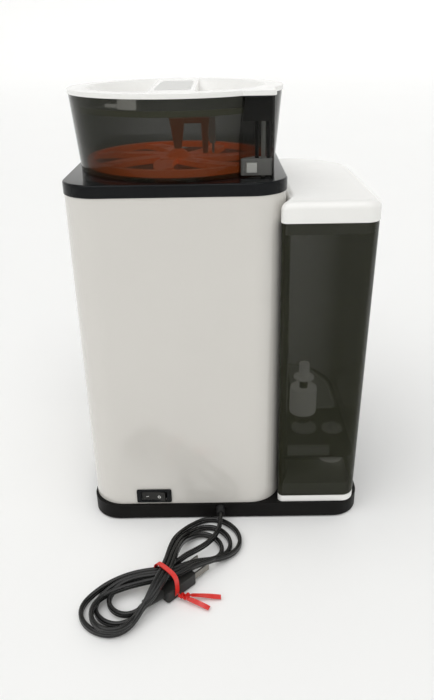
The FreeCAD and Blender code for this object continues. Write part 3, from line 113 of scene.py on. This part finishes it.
class Finish:
    def __init__(self, name):
        self.material = bpy.data.materials.new(name)
        self.material.use_nodes = True
        self.tree = self.material.node_tree
        self.tree.nodes.clear()
        self.output = self.tree.nodes.new("ShaderNodeOutputMaterial")

    def node(self, kind, settings=None, **sockets):
        made = self.tree.nodes.new(kind)
        for key, value in (settings or {}).items():
            setattr(made, key, value)
        for key, value in sockets.items():  # a socket goes by its name, or by s and its number
            numbered = key[0] == "s" and key[1:].isdigit()
            slot = made.inputs[int(key[1:]) if numbered else key.replace("_", " ")]
            if isinstance(value, Signal):
                self.tree.links.new(value.socket, slot)
            elif hasattr(value, "is_output"):
                self.tree.links.new(value, slot)
            else:
                slot.default_value = value
        return made

    def place(self):
        return self.node("ShaderNodeTexCoord").outputs["Object"]

    def noise(self, scale, detail=3.0, rough=0.5, stretch=(1, 1, 1)):
        spot = self.node("ShaderNodeMapping", None, Vector=self.place(), Scale=stretch).outputs[0]
        made = self.node("ShaderNodeTexNoise", None, Vector=spot, Scale=scale, Detail=detail, Roughness=rough)
        return Signal(self.tree, made.outputs["Fac"])

    def mix(self, share, dark, light):
        made = self.node("ShaderNodeMix", {"data_type": "RGBA"}, s0=share, s6=dark, s7=light)
        return made.outputs[2]

    def bump(self, height, depth):
        return self.node("ShaderNodeBump", None, Height=height, Distance=depth, Strength=1.0).outputs[0]

    def surface(self, **sockets):
        shader = self.node("ShaderNodeBsdfPrincipled", None, **sockets)
        self.tree.links.new(shader.outputs[0], self.output.inputs[0])
        return self.material


def tone(r, g, b):
    return (r, g, b, 1.0)


# two tones, roughness, scale of the grain, depth of its bump in metres, clear coat, specular level, and
# painted glow: light given off by parts that are no lamps, painted on so the pieces behind the smoke walls
# show
plainFinish = {"grain": 900.0, "depth": 0.00001, "coat": 0.25, "shine": 0.5, "paintedGlow": 0.0}

finishes = {
    # the body's white is the same plastic as lidWhite, with painted shade: its tones are darkened for the
    # body's upright faces, over its own warm white
    "shellWhitePaintedShade": {"dark": (0.63, 0.61, 0.57), "light": (0.69, 0.67, 0.63), "rough": 0.13,
                   "grain": 700.0, "depth": 0.000006, "coat": 0.45},
    "lidWhite": {"dark": (0.83, 0.825, 0.80), "light": (0.90, 0.895, 0.87), "rough": 0.22,
                 "coat": 0.3},
    "deckBlack": {"dark": (0.004, 0.0045, 0.005), "light": (0.010, 0.011, 0.012), "rough": 0.07,
                  "grain": 600.0, "depth": 0.000005, "coat": 0.0, "shine": 0.12},
    "baseBlack": {"dark": (0.006, 0.006, 0.006), "light": (0.014, 0.013, 0.012), "rough": 0.42,
                  "grain": 2600.0, "depth": 0.00006, "coat": 0.0, "shine": 0.06},
    "innerBlack": {"dark": (0.012, 0.012, 0.011), "light": (0.028, 0.028, 0.026), "rough": 0.38,
                   "grain": 1800.0, "depth": 0.00003, "coat": 0.0, "shine": 0.25},
    "innerWhite": {"dark": (0.62, 0.61, 0.57), "light": (0.74, 0.73, 0.70), "rough": 0.36,
                   "grain": 1200.0, "depth": 0.00002, "coat": 0.0, "shine": 0.4, "paintedGlow": 0.40},
    "innerGrey": {"dark": (0.20, 0.20, 0.19), "light": (0.30, 0.30, 0.28), "rough": 0.40,
                  "grain": 1500.0, "depth": 0.00003, "coat": 0.0, "shine": 0.4, "paintedGlow": 0.28},
    "wheelOrange": {"dark": (0.56, 0.080, 0.006), "light": (0.74, 0.130, 0.012), "rough": 0.28,
                    "depth": 0.00002, "coat": 0.1, "shine": 0.4, "paintedGlow": 0.70},
    "stirrerAmber": {"dark": (0.17, 0.040, 0.010), "light": (0.26, 0.070, 0.016), "rough": 0.30,
                     "depth": 0.00002, "coat": 0.1, "shine": 0.4, "paintedGlow": 0.35},
    "tieRed": {"dark": (0.55, 0.018, 0.015), "light": (0.78, 0.040, 0.030), "rough": 0.24,
               "grain": 1500.0, "depth": 0.00002, "coat": 0.3},
    "cordBlack": {"dark": (0.006, 0.006, 0.006), "light": (0.014, 0.014, 0.013), "rough": 0.24,
                  "grain": 1900.0, "depth": 0.00002, "coat": 0.15, "shine": 0.28},
    "rubberBlack": {"dark": (0.010, 0.010, 0.010), "light": (0.022, 0.022, 0.022), "rough": 0.62,
                    "grain": 2200.0, "depth": 0.00005, "coat": 0.0, "shine": 0.2},
    "sealOlive": {"dark": (0.085, 0.085, 0.055), "light": (0.13, 0.13, 0.09), "rough": 0.50,
                  "grain": 1500.0, "depth": 0.00003, "coat": 0.0, "shine": 0.3, "paintedGlow": 0.9},
    "boardGreen": {"dark": (0.006, 0.060, 0.022), "light": (0.020, 0.16, 0.060), "rough": 0.32},
    "hoseClear": {"dark": (0.58, 0.58, 0.54), "light": (0.70, 0.70, 0.66), "rough": 0.35,
                  "grain": 800.0, "coat": 0.2},
    "lensDark": {"dark": (0.002, 0.002, 0.003), "light": (0.006, 0.006, 0.008), "rough": 0.05,
                 "grain": 500.0, "depth": 0.000003, "coat": 0.5, "shine": 0.4},
    "latchGrey": {"dark": (0.56, 0.55, 0.50), "light": (0.68, 0.67, 0.62), "rough": 0.35,
                  "grain": 1500.0, "depth": 0.00002, "coat": 0.0, "shine": 0.4, "paintedGlow": 0.9},
    "markWhite": {"dark": (0.70, 0.70, 0.68), "light": (0.80, 0.80, 0.78), "rough": 0.40,
                  "grain": 2400.0, "depth": 0.00002, "coat": 0.0},
    "labelGrey": {"dark": (0.66, 0.66, 0.64), "light": (0.73, 0.73, 0.71), "rough": 0.45,
                  "grain": 2400.0, "depth": 0.00002, "coat": 0.0},
}


def moulded(name):
    # broad tone drift, fine grain in roughness, and an orange-peel bump:
    # tone = 0.7 drift + 0.3 grain; roughness = its value, spread by smears and a little by the grain
    values = {**plainFinish, **finishes[name]}
    finish = Finish(name)
    drift = finish.noise(9.0, 2.0)
    fine = finish.noise(values["grain"], 4.0, 0.6)
    smear = finish.noise(34.0, 5.0, 0.62)
    colour = finish.mix(drift * 0.7 + fine * 0.3, tone(*values["dark"]), tone(*values["light"]))
    rough = values["rough"] + (smear - 0.5) * values["rough"] * 0.55 + (fine - 0.5) * 0.04
    # painted light: the emission gives off the finish's own colour at its painted glow strength, though the
    # part is no lamp
    return finish.surface(Base_Color=colour, Roughness=rough, Coat_Weight=values["coat"], Coat_Roughness=0.08,
                          Specular_IOR_Level=values["shine"], Emission_Color=colour,
                          Emission_Strength=values["paintedGlow"],
                          Normal=finish.bump(fine + drift * 2.0, values["depth"]))


metals = {
    "steel": {"dark": (0.42, 0.42, 0.42), "light": (0.66, 0.66, 0.65), "stretch": (1, 1, 0.04)},
    # the plug pins' metal tones are darkened: painted shade for the pins lying under the hank, over their own
    # plated tone
    "nickelPaintedShade": {"dark": (0.20, 0.19, 0.17), "light": (0.34, 0.32, 0.29), "stretch": (1, 1, 0.1)},
}


def brushed(name):
    # fine lines stretched along the brushing, over broad blotches: tone = 0.6 lines + 0.4 blotches
    values = metals[name]
    finish = Finish(name)
    lines = finish.noise(420.0, 4.0, 0.6, values["stretch"])
    blotch = finish.noise(28.0, 3.0)
    colour = finish.mix(lines * 0.6 + blotch * 0.4, tone(*values["dark"]), tone(*values["light"]))
    return finish.surface(Base_Color=colour, Metallic=1.0, Roughness=0.22 + lines * 0.22,
                          Normal=finish.bump(lines, 0.00002))


smokes = {  # two tones, and how solid the wall looks when faced squarely
    "tankSmoke": {"dark": (0.020, 0.021, 0.011), "light": (0.030, 0.031, 0.018), "solid": 0.56},
    "hopperSmoke": {"dark": (0.014, 0.015, 0.009), "light": (0.022, 0.023, 0.015), "solid": 0.54},
    "columnSmoke": {"dark": (0.006, 0.006, 0.005), "light": (0.011, 0.011, 0.009), "solid": 0.24},
    "clearRod": {"dark": (0.45, 0.46, 0.42), "light": (0.60, 0.61, 0.56), "solid": 0.55},
}


def smoked(name):
    # tinted clear wall with faint wiping marks in its gloss; edge-on it looks denser:
    # alpha rises from its squarely faced value towards 0.97 as the surface turns away
    values = smokes[name]
    finish = Finish(name)
    smear = finish.noise(26.0, 5.0, 0.65)
    facing = Signal(finish.tree, finish.node("ShaderNodeLayerWeight", None, Blend=0.35).outputs["Facing"])
    colour = finish.mix(smear, tone(*values["dark"]), tone(*values["light"]))
    return finish.surface(Base_Color=colour, Roughness=0.05 + smear * 0.07, IOR=1.45, Specular_IOR_Level=0.12,
                          Alpha=values["solid"] + facing * (0.97 - values["solid"]),
                          Normal=finish.bump(smear, 0.00002))


def circuitBoard(name):
    # brick joints stand in for the tracks, with a little grime: tone = 0.8 tracks + 0.2 grime
    values = finishes[name]
    finish = Finish(name)
    tracks = finish.node("ShaderNodeTexBrick", {"offset": 0.37}, Vector=finish.place(), Scale=160.0,
                         Mortar_Size=0.06, Color1=tone(0, 0, 0), Color2=tone(0.15, 0.15, 0.15),
                         Mortar=tone(1, 1, 1))
    line = Signal(finish.tree, tracks.outputs["Fac"])
    grime = finish.noise(50.0)
    colour = finish.mix(line * 0.8 + grime * 0.2, tone(*values["dark"]), tone(*values["light"]))
    return finish.surface(Base_Color=colour, Roughness=values["rough"] + grime * 0.1,
                          Normal=finish.bump(line, 0.00004))


materials = {name: circuitBoard(name) if name == "boardGreen" else moulded(name) for name in finishes}
materials.update({name: brushed(name) for name in metals})
materials.update({name: smoked(name) for name in smokes})
print("finishes written", len(materials))

dress = {  # the lead, the hank and the tie are made afresh further down
    "shellWhitePaintedShade": ["rear_housing", "funnel"],
    "lidWhite": ["hopper_lid", "tank_lid", "tank_deck"],
    "latchGrey": ["lid_latch"],
    "deckBlack": ["top_deck", "control_panel", "switch_bezel", "button_start", "button_volume",
                  "button_strength", "button_warmth"],
    "baseBlack": ["base_pan", "drip_tray", "drip_grille", "niche_liner"],
    "innerBlack": ["power_rocker", "tank_floor", "valve_tube", "float_base", "lock_block", "power_supply",
                   "mains_plug", "motor_pinion", "funnel_rails"],
    "innerWhite": ["inlet_socket", "level_float", "float_cap", "drive_gear", "water_nozzle"],
    "innerGrey": ["water_pump", "lock_base", "lock_catch", "wiper", "valve_plunger", "tank_fittings",
                  "strainer"],
    "steel": ["base_screws", "heater_tank", "wheel_motor", "valve_spring", "motor_plate"],
    "nickelPaintedShade": ["plug_pins"],
    "rubberBlack": ["rubber_feet", "cord_gland"],
    "boardGreen": ["control_board", "main_board"],
    "hoseClear": ["hoses"],
    "lensDark": ["display_lens"],
    "tankSmoke": ["tank_shell"],
    "hopperSmoke": ["hopper_shell"],
    "columnSmoke": ["lock_column"],
    "clearRod": ["interlock_rod"],
    "sealOlive": ["lid_seal"],
    "wheelOrange": ["mixing_wheel"],
    "stirrerAmber": ["stirrer"],
}

bodyOf = {node: body for body, members in frame["record"]["behaviour"]["bodies"].items() for node in members}


# mesh helpers
def makePiece(name, points, faces, material, body, smooth=True):
    mesh = bpy.data.meshes.new(name)
    mesh.from_pydata(np.asarray(points).tolist(), [], [list(f) for f in faces])
    mesh.update()
    if smooth:
        mesh.shade_smooth()
    else:
        mesh.shade_flat()
    mesh.materials.append(materials[material])
    piece = bpy.data.objects.new(name, mesh)
    bpy.context.scene.collection.objects.link(piece)
    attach(piece, body)
    return piece


def gridFaces(rows, columns, closedRows=False, closedColumns=False):
    # quads between neighbouring grid points, wrapping where the grid closes on itself
    i = np.arange(rows if closedRows else rows - 1)[:, None]
    j = np.arange(columns if closedColumns else columns - 1)[None, :]
    nextI = (i + 1) % rows
    nextJ = (j + 1) % columns
    quads = np.stack([i * columns + j, nextI * columns + j, nextI * columns + nextJ, i * columns + nextJ], -1)
    return quads.reshape(-1, 4)


welding = {"weld": 0.000004, "flat": 0.6, "sharp": 31.0, "segments": 2}  # metres, degrees, degrees, count


def softenNode(node, material, width):
    # a welded copy of the CAD mesh with small rounded edges
    copy = bpy.data.objects.new(node + ".soft", nodes[node].data.copy())
    bpy.context.scene.collection.objects.link(copy)
    sheet = bmesh.new()
    sheet.from_mesh(copy.data)
    bmesh.ops.remove_doubles(sheet, verts=sheet.verts, dist=welding["weld"])
    bmesh.ops.dissolve_limit(sheet, angle_limit=math.radians(welding["flat"]), verts=sheet.verts,
                             edges=sheet.edges)
    sheet.to_mesh(copy.data)
    sheet.free()
    copy.data.shade_smooth()
    copy.data.set_sharp_from_angle(angle=math.radians(welding["sharp"]))
    copy.data.materials.clear()
    copy.data.materials.append(materials[material])
    rounded = copy.modifiers.new("rounded", "BEVEL")
    rounded.width = width
    rounded.segments = welding["segments"]
    rounded.limit_method = "ANGLE"
    rounded.angle_limit = math.radians(welding["sharp"])
    rounded.harden_normals = True
    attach(copy, bodyOf[node])
    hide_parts(node)


softEdges = {  # bevel widths in metres
    "rear_housing": 0.0005, "top_deck": 0.0003, "base_pan": 0.0008, "hopper_lid": 0.0007, "tank_lid": 0.0009,
    "hopper_shell": 0.0004, "lock_column": 0.0003, "tank_shell": 0.0004, "tank_deck": 0.0005,
    "switch_bezel": 0.0004, "power_rocker": 0.0004, "mixing_wheel": 0.0004, "stirrer": 0.0005,
    "level_float": 0.0004, "float_cap": 0.0004, "float_base": 0.0004, "valve_plunger": 0.0003,
    "strainer": 0.0003, "tank_floor": 0.0003, "inlet_socket": 0.0004, "control_panel": 0.0004,
    "funnel": 0.0004, "drip_tray": 0.0005, "drip_grille": 0.0003, "niche_liner": 0.0004,
    "mains_plug": 0.0009, "plug_pins": 0.0003, "lock_block": 0.0003, "lock_base": 0.0003,
    "lock_catch": 0.0003, "wiper": 0.0002, "lid_seal": 0.0003, "valve_tube": 0.0003, "tank_fittings": 0.0002,
    "button_start": 0.0004, "button_volume": 0.0004, "button_strength": 0.0004, "button_warmth": 0.0004,
    "display_lens": 0.0002, "rubber_feet": 0.0005, "cord_gland": 0.0003,
}


def dressMachine():
    for material, members in dress.items():
        for node in members:
            if node in softEdges:
                softenNode(node, material, softEdges[node])
            else:
                nodes[node].data.materials.clear()
                nodes[node].data.materials.append(materials[material])
    print("machine dressed")


dressMachine()

# the mains lead, in mm and degrees: one smooth line from the gland, through the hank, to the plug
lead = {
    "width": 5.75, "thickness": 3.7, "groove": 0.275, "grooveWidth": 0.7, "square": 0.12, "profileSteps": 28,
    "start": [(4.9, 143.0, 11.0), (5.0, 151.0, 10.9), (6.4, 159.5, 9.8), (10.0, 169.0, 8.9),
              (16.5, 179.0, 9.6), (24.5, 188.5, 12.0), (33.0, 197.0, 14.2), (38.2, 203.2, 14.8)],
    "hankCentre": (46.0, 216.0), "hankTurn": -135.1, "bend": 0.165,
    "turns": [  # reach and half width of each loop, and the side shift at the waist
        {"left": 72.0, "leftWide": 23.0, "right": 83.0, "rightWide": 25.5, "shift": 4.6},
        {"left": 61.0, "leftWide": 18.5, "right": 72.0, "rightWide": 20.5, "shift": 0.8},
        {"left": 50.0, "leftWide": 15.5, "right": 61.0, "rightWide": 17.5, "shift": -3.0},
    ],
    "stepsPerTurn": 24, "floorHeight": 2.95, "overPlug": 11.45, "plugReach": 39.0, "crossLift": 5.75,
    "climbPower": 6, "crossWidth": 0.52,
    "last": [(0.0, -6.8, 14.4), (-15.0, 3.5, 13.9), (-30.0, 14.0, 11.4), (-41.0, 20.0, 9.4),
             (-52.0, 22.0, 8.9), (-62.0, 18.5, 8.9), (-68.5, 9.5, 8.9), (-69.0, -1.5, 8.9),
             (-63.0, -10.5, 8.9), (-53.0, -14.0, 8.8), (-43.5, -11.0, 8.4), (-38.0, -7.6, 7.4),
             (-33.0, -5.6, 6.6), (-28.5, -5.0, 6.3)],
}


def onHank(points):
    # hank points turned and moved to where the hank lies
    turn = math.radians(lead["hankTurn"])
    points = np.atleast_2d(np.asarray(points, float))
    x = points[:, 0] * math.cos(turn) - points[:, 1] * math.sin(turn) + lead["hankCentre"][0]
    y = points[:, 0] * math.sin(turn) + points[:, 1] * math.cos(turn) + lead["hankCentre"][1]
    return np.stack([x, y, points[:, 2]], -1)


def hankLine():
    # each turn is a figure eight: along = reach * sin(phase), across = half width * sin(2 * phase),
    # bent sideways by a share of the distance out; it climbs over the plug at the waist, and the
    # strands that run back climb once more over those that run out
    route = []
    for turn in lead["turns"]:
        phase = np.linspace(0.0, 2 * math.pi, lead["stepsPerTurn"], endpoint=False) + math.pi
        side = np.sin(phase)
        reach = np.where(side > 0, turn["right"], turn["left"])
        wide = np.where(side > 0, turn["rightWide"], turn["leftWide"])
        along = reach * side
        across = wide * np.sin(2 * phase) + lead["bend"] * np.abs(along) + turn["shift"] * np.cos(phase) ** 4
        climb = lead["overPlug"] / (1 + (along / lead["plugReach"]) ** lead["climbPower"])
        running = np.exp(-((phase - 2 * math.pi) / lead["crossWidth"]) ** 4)
        route.append(np.stack([along, across, lead["floorHeight"] + climb + lead["crossLift"] * running], -1))
    return np.concatenate(route)


def cordLine():
    hank = onHank(np.concatenate([hankLine(), np.array(lead["last"])]))
    return np.concatenate([np.array(lead["start"]), hank])


def flatProfile():
    # two round cores side by side with a groove between: the height dips where the sides meet
    data = bpy.data.curves.new("flexProfile", "CURVE")
    data.dimensions = "2D"
    turn = np.linspace(0, 2 * math.pi, lead["profileSteps"], endpoint=False)
    x = lead["thickness"] / 2 * np.cos(turn)
    y = lead["width"] / 2 * np.sin(turn)
    pinch = 1.0 - lead["groove"] * np.exp(-(y / lead["grooveWidth"]) ** 2)
    squareness = 1.0 + lead["square"] * np.abs(np.sin(2 * turn))
    points = np.stack([x * pinch * squareness, y, 0 * x, 0 * x + 1], -1) * [mm, mm, mm, 1]
    spline = data.splines.new("POLY")
    spline.points.add(len(points) - 1)
    spline.points.foreach_set("co", points.ravel())
    spline.use_cyclic_u = True
    return bpy.data.objects.new("flexProfile", data)


def makeCord():
    line = cordLine() * mm
    data = bpy.data.curves.new("flexLead", "CURVE")
    data.dimensions = "3D"
    data.twist_mode = "Z_UP"
    spline = data.splines.new("NURBS")
    spline.points.add(len(line) - 1)
    spline.points.foreach_set("co", np.concatenate([line, np.ones((len(line), 1))], 1).ravel())
    spline.order_u = 3
    spline.use_endpoint_u = True
    spline.resolution_u = 8
    data.bevel_mode = "OBJECT"
    data.bevel_object = flatProfile()
    data.use_fill_caps = True
    data.materials.append(materials["cordBlack"])
    cord = bpy.data.objects.new("flexLead", data)
    bpy.context.scene.collection.objects.link(cord)
    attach(cord, "machine")
    for node in ("cord_lead", "cord_hank"):
        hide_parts(node)
    print("lead laid, control length", round(np.linalg.norm(np.diff(line, axis=0), axis=1).sum(), 3))
    return cord


cord = makeCord()


# red twist tie, in mm along the hank: ribbon ring, twisted knot and two tails
tie = {"x": -5.0, "width": 3.8, "thick": 0.7, "left": -14.9, "right": 10.2, "top": 23.6, "bottom": 0.5,
       "knot": (-5.0, -15.6, 5.0), "tails": [(18.4, -39.0), (4.3, -40.5)],
       "roundness": 0.55, "loopSteps": 64, "tailSteps": 40, "tailHeight": 2.2, "tailArch": 1.4,
       "knotTwist": 2.6, "untwist": 3.2, "sway": 0.25, "swayTurns": 5}


def ribbon(centre, across):
    # a flat strip carried along a line: centre +- across * half width, with a thin wall
    half = tie["width"] / 2
    up = np.cross(np.gradient(centre, axis=0), across)
    up = up / np.linalg.norm(up, axis=1)[:, None] * tie["thick"] / 2
    side = across * half
    ring = np.stack([centre - side - up, centre + side - up, centre + side + up, centre - side + up], 1)
    return onHank(ring.reshape(-1, 3)) * mm, gridFaces(len(centre), 4, False, True)


def makeTie():
    turn = np.linspace(0, 2 * math.pi, tie["loopSteps"])
    # rounded loop: a superellipse round the waist and the plug
    midY, midZ = (tie["left"] + tie["right"]) / 2, (tie["top"] + tie["bottom"]) / 2
    halfY, halfZ = (tie["right"] - tie["left"]) / 2, (tie["top"] - tie["bottom"]) / 2
    c, s = np.cos(turn), np.sin(turn)
    y = midY + halfY * np.sign(c) * np.abs(c) ** tie["roundness"]
    z = midZ + halfZ * np.sign(s) * np.abs(s) ** tie["roundness"]
    loop = np.stack([np.full_like(y, tie["x"]), y, z], -1)
    across = np.tile([1.0, 0.0, 0.0], (len(turn), 1))
    points, faces = ribbon(loop, across)
    allPoints, allFaces = [points], [faces]
    low = tie["tailHeight"]
    for index, (endX, endY) in enumerate(tie["tails"]):
        # each tail drops from the knot to the floor with a slight arch, and its twist runs out
        share = np.linspace(0, 1, tie["tailSteps"])
        start = np.array(tie["knot"])
        end = np.array([endX, endY, low])
        line = start + (end - start) * share[:, None]
        line[:, 2] = low + (start[2] - low) * (1 - share) ** 2 + tie["tailArch"] * np.sin(share * math.pi)
        direction = (end - start) / np.linalg.norm(end - start)
        level = np.cross(direction, [0, 0, 1.0])
        level = level / np.linalg.norm(level)
        roll = tie["knotTwist"] * math.pi * np.clip(1 - share * tie["untwist"], 0, 1)
        roll = roll + tie["sway"] * np.sin(share * tie["swayTurns"] + index)
        acrossLine = level * np.cos(roll)[:, None] + np.array([0, 0, 1.0]) * np.sin(roll)[:, None]
        points, faces = ribbon(line, acrossLine)
        offset = sum(len(p) for p in allPoints)
        allPoints.append(points)
        allFaces.append(faces + offset)
    piece = makePiece("twistTie", np.concatenate(allPoints), np.concatenate(allFaces), "tieRed", "machine",
                      False)
    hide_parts("cord_tie")
    return piece


twistTie = makeTie()

# grip label on the lid, in mm: a plain pale band along the bar between the two finger scoops
gripLabel = {"width": 27.0, "length": 98.0, "lift": 0.18, "shift": 4.0, "fromLidSide": 84.8, "steps": 96,
             "bed": 0.02, "rings": [0.02, 0.35, 0.7, 0.97, 1.0]}


def makeGripLabel():
    # rounded rectangle carried outwards from near its middle: its scale grows to 1, and the rim drops
    # to the lid at the last step
    low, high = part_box("hopper_lid")
    middle = [low[0] / mm + gripLabel["fromLidSide"], (low[1] + high[1]) / 2 / mm + gripLabel["shift"]]
    turn = np.linspace(0, 2 * math.pi, gripLabel["steps"], endpoint=False)
    c, s = np.cos(turn), np.sin(turn)
    power = 2 / 9
    edgeX = gripLabel["width"] / 2 * np.sign(c) * np.abs(c) ** power
    edgeY = gripLabel["length"] / 2 * np.sign(s) * np.abs(s) ** power
    scale = np.array(gripLabel["rings"])[:, None]
    lift = (scale < 1.0) * gripLabel["lift"] + gripLabel["bed"]
    x = middle[0] + edgeX * scale
    y = middle[1] + edgeY * scale
    z = high[2] / mm + lift + 0 * x
    points = np.stack([x, y, z], -1).reshape(-1, 3) * mm
    faces = gridFaces(len(scale), gripLabel["steps"], False, True)
    faces = list(faces[:, ::-1]) + [list(range(gripLabel["steps"]))]
    piece = makePiece("gripLabel", points, faces, "labelGrey", "hopper_cover")


makeGripLabel()

# on and off signs on the rocker, in mm and degrees
signs = {"centre": (63.95, 24.9), "rear": 133.0, "pivotDepth": 3.0, "tilt": -6.0, "rise": 0.12, "sunk": -0.1,
         "steps": 48,
         "profile": [(-10.4, 2.4), (-5.2, 1.2), (0.0, 0.8), (5.2, 1.2), (10.4, 2.4)],
         "bar": {"x": 5.6, "z": -0.6, "length": 2.4, "height": 0.55},
         "ring": {"x": -5.0, "z": -0.6, "radius": 1.35, "line": 0.5}}


def onRocker(x, z, rise):
    # a point of the rocker's face: its depth follows the profile, then turns with the rocker
    profile = np.array(signs["profile"])
    y = np.interp(x, profile[:, 0], profile[:, 1]) + rise + signs["pivotDepth"]
    turn = math.radians(signs["tilt"])
    worldX = signs["centre"][0] + x * math.cos(turn) - y * math.sin(turn)
    worldY = signs["rear"] - signs["pivotDepth"] + x * math.sin(turn) + y * math.cos(turn)
    return np.stack([worldX, worldY, signs["centre"][1] + z + 0 * x], -1)


def makeSigns():
    # the ring is a square-sectioned hoop, and the bar is a rounded hoop filled to its middle
    steps, sunk, rise = signs["steps"], signs["sunk"], signs["rise"]
    turn = np.linspace(0, 2 * math.pi, steps, endpoint=False)
    c, s = np.cos(turn), np.sin(turn)
    ring, bar = signs["ring"], signs["bar"]
    outer = ring["radius"]
    inner = outer - ring["line"]
    corners = ((inner, sunk), (inner, rise), (outer, rise), (outer, sunk))
    rows = [onRocker(ring["x"] + radius * c, ring["z"] + radius * s, height) for radius, height in corners]
    hoop = makePiece("signOff", np.concatenate(rows) * mm, gridFaces(len(rows), steps, True, True),
                     "markWhite", "rocker", False)
    rows = []
    for share, height in ((0.05, rise), (1.0, rise), (1.0, sunk)):
        x = bar["x"] + bar["length"] / 2 * share * np.sign(c) * np.abs(c) ** 0.3
        z = bar["z"] + bar["height"] / 2 * share * np.sign(s) * np.abs(s) ** 0.3
        rows.append(onRocker(x, z, height))
    faces = list(gridFaces(len(rows), steps, False, True)) + [list(range(steps))]
    dash = makePiece("signOn", np.concatenate(rows) * mm, faces, "markWhite", "rocker", False)


makeSigns()

# floor and lights, in metres, watts and degrees
studio = {
    "floor": (0.92, 0.92, 0.91), "span": 7.0, "wall": 8.0, "steps": 96, "bendSteps": 12,
    "key": 1.8, "keyPlace": (1.3, 1.6, 1.2), "keyAim": (0, 0, 0.2), "keySize": (0.7, 0.9),
    "sun": 1.75, "sunSoftness": 75.0, "sunTurn": (-22.0, 10.0), "world": 0.46,
}


def softLight(name, place, aim, size, power):
    data = bpy.data.lights.new(name, "AREA")
    data.shape = "RECTANGLE"
    data.size = size[0]
    data.size_y = size[1]
    data.energy = power
    lamp = bpy.data.objects.new(name, data)
    lamp.location = place
    direction = np.array(aim) - np.array(place)
    lamp.rotation_euler = (math.atan2(np.hypot(direction[0], direction[1]), -direction[2]), 0,
                           math.atan2(direction[0], -direction[1]) + math.pi)
    bpy.context.scene.collection.objects.link(lamp)


def makeStudio():
    finish = Finish("studioFloor")
    drift = finish.noise(3.0, 3.0)
    fine = finish.noise(120.0, 3.0)
    base = studio["floor"]
    colour = finish.mix(drift, tone(*[v * 0.985 for v in base]), tone(*base))
    finish.surface(Base_Color=colour, Roughness=0.6 + fine * 0.1)
    # floor disc that turns up into a round wall some metres away: radius grows, then height grows
    turn = np.linspace(0, 2 * math.pi, studio["steps"], endpoint=False)
    steps = np.linspace(0, math.pi / 2, studio["bendSteps"])
    span, bend = studio["span"], studio["wall"] / 2
    radius = np.concatenate([[0.01], span + bend * np.sin(steps), [span + bend]])
    height = np.concatenate([[0.0], bend * (1 - np.cos(steps)), [studio["wall"]]])
    points = np.stack([radius[:, None] * np.cos(turn), radius[:, None] * np.sin(turn),
                       height[:, None] + 0 * turn], -1).reshape(-1, 3)
    mesh = bpy.data.meshes.new("studioFloor")
    faces = gridFaces(len(radius), studio["steps"], False, True).tolist() + [list(range(studio["steps"]))]
    mesh.from_pydata(points.tolist(), [], faces)
    mesh.shade_smooth()
    mesh.materials.append(finish.material)
    floor = bpy.data.objects.new("studioFloor", mesh)
    bpy.context.scene.collection.objects.link(floor)
    world = bpy.data.worlds.new("studioSky")
    world.use_nodes = True
    world.node_tree.nodes["Background"].inputs[0].default_value = tone(1, 1, 1)
    world.node_tree.nodes["Background"].inputs[1].default_value = studio["world"]
    bpy.context.scene.world = world
    bpy.context.scene.view_settings.view_transform = "Standard"
    softLight("keyLight", studio["keyPlace"], studio["keyAim"], studio["keySize"], studio["key"])
    sky = bpy.data.lights.new("softSun", "SUN")
    sky.energy = studio["sun"]
    sky.angle = math.radians(studio["sunSoftness"])
    lamp = bpy.data.objects.new("softSun", sky)
    lamp.rotation_euler = (*[math.radians(a) for a in studio["sunTurn"]], 0)
    bpy.context.scene.collection.objects.link(lamp)
    print("studio lit")


makeStudio()
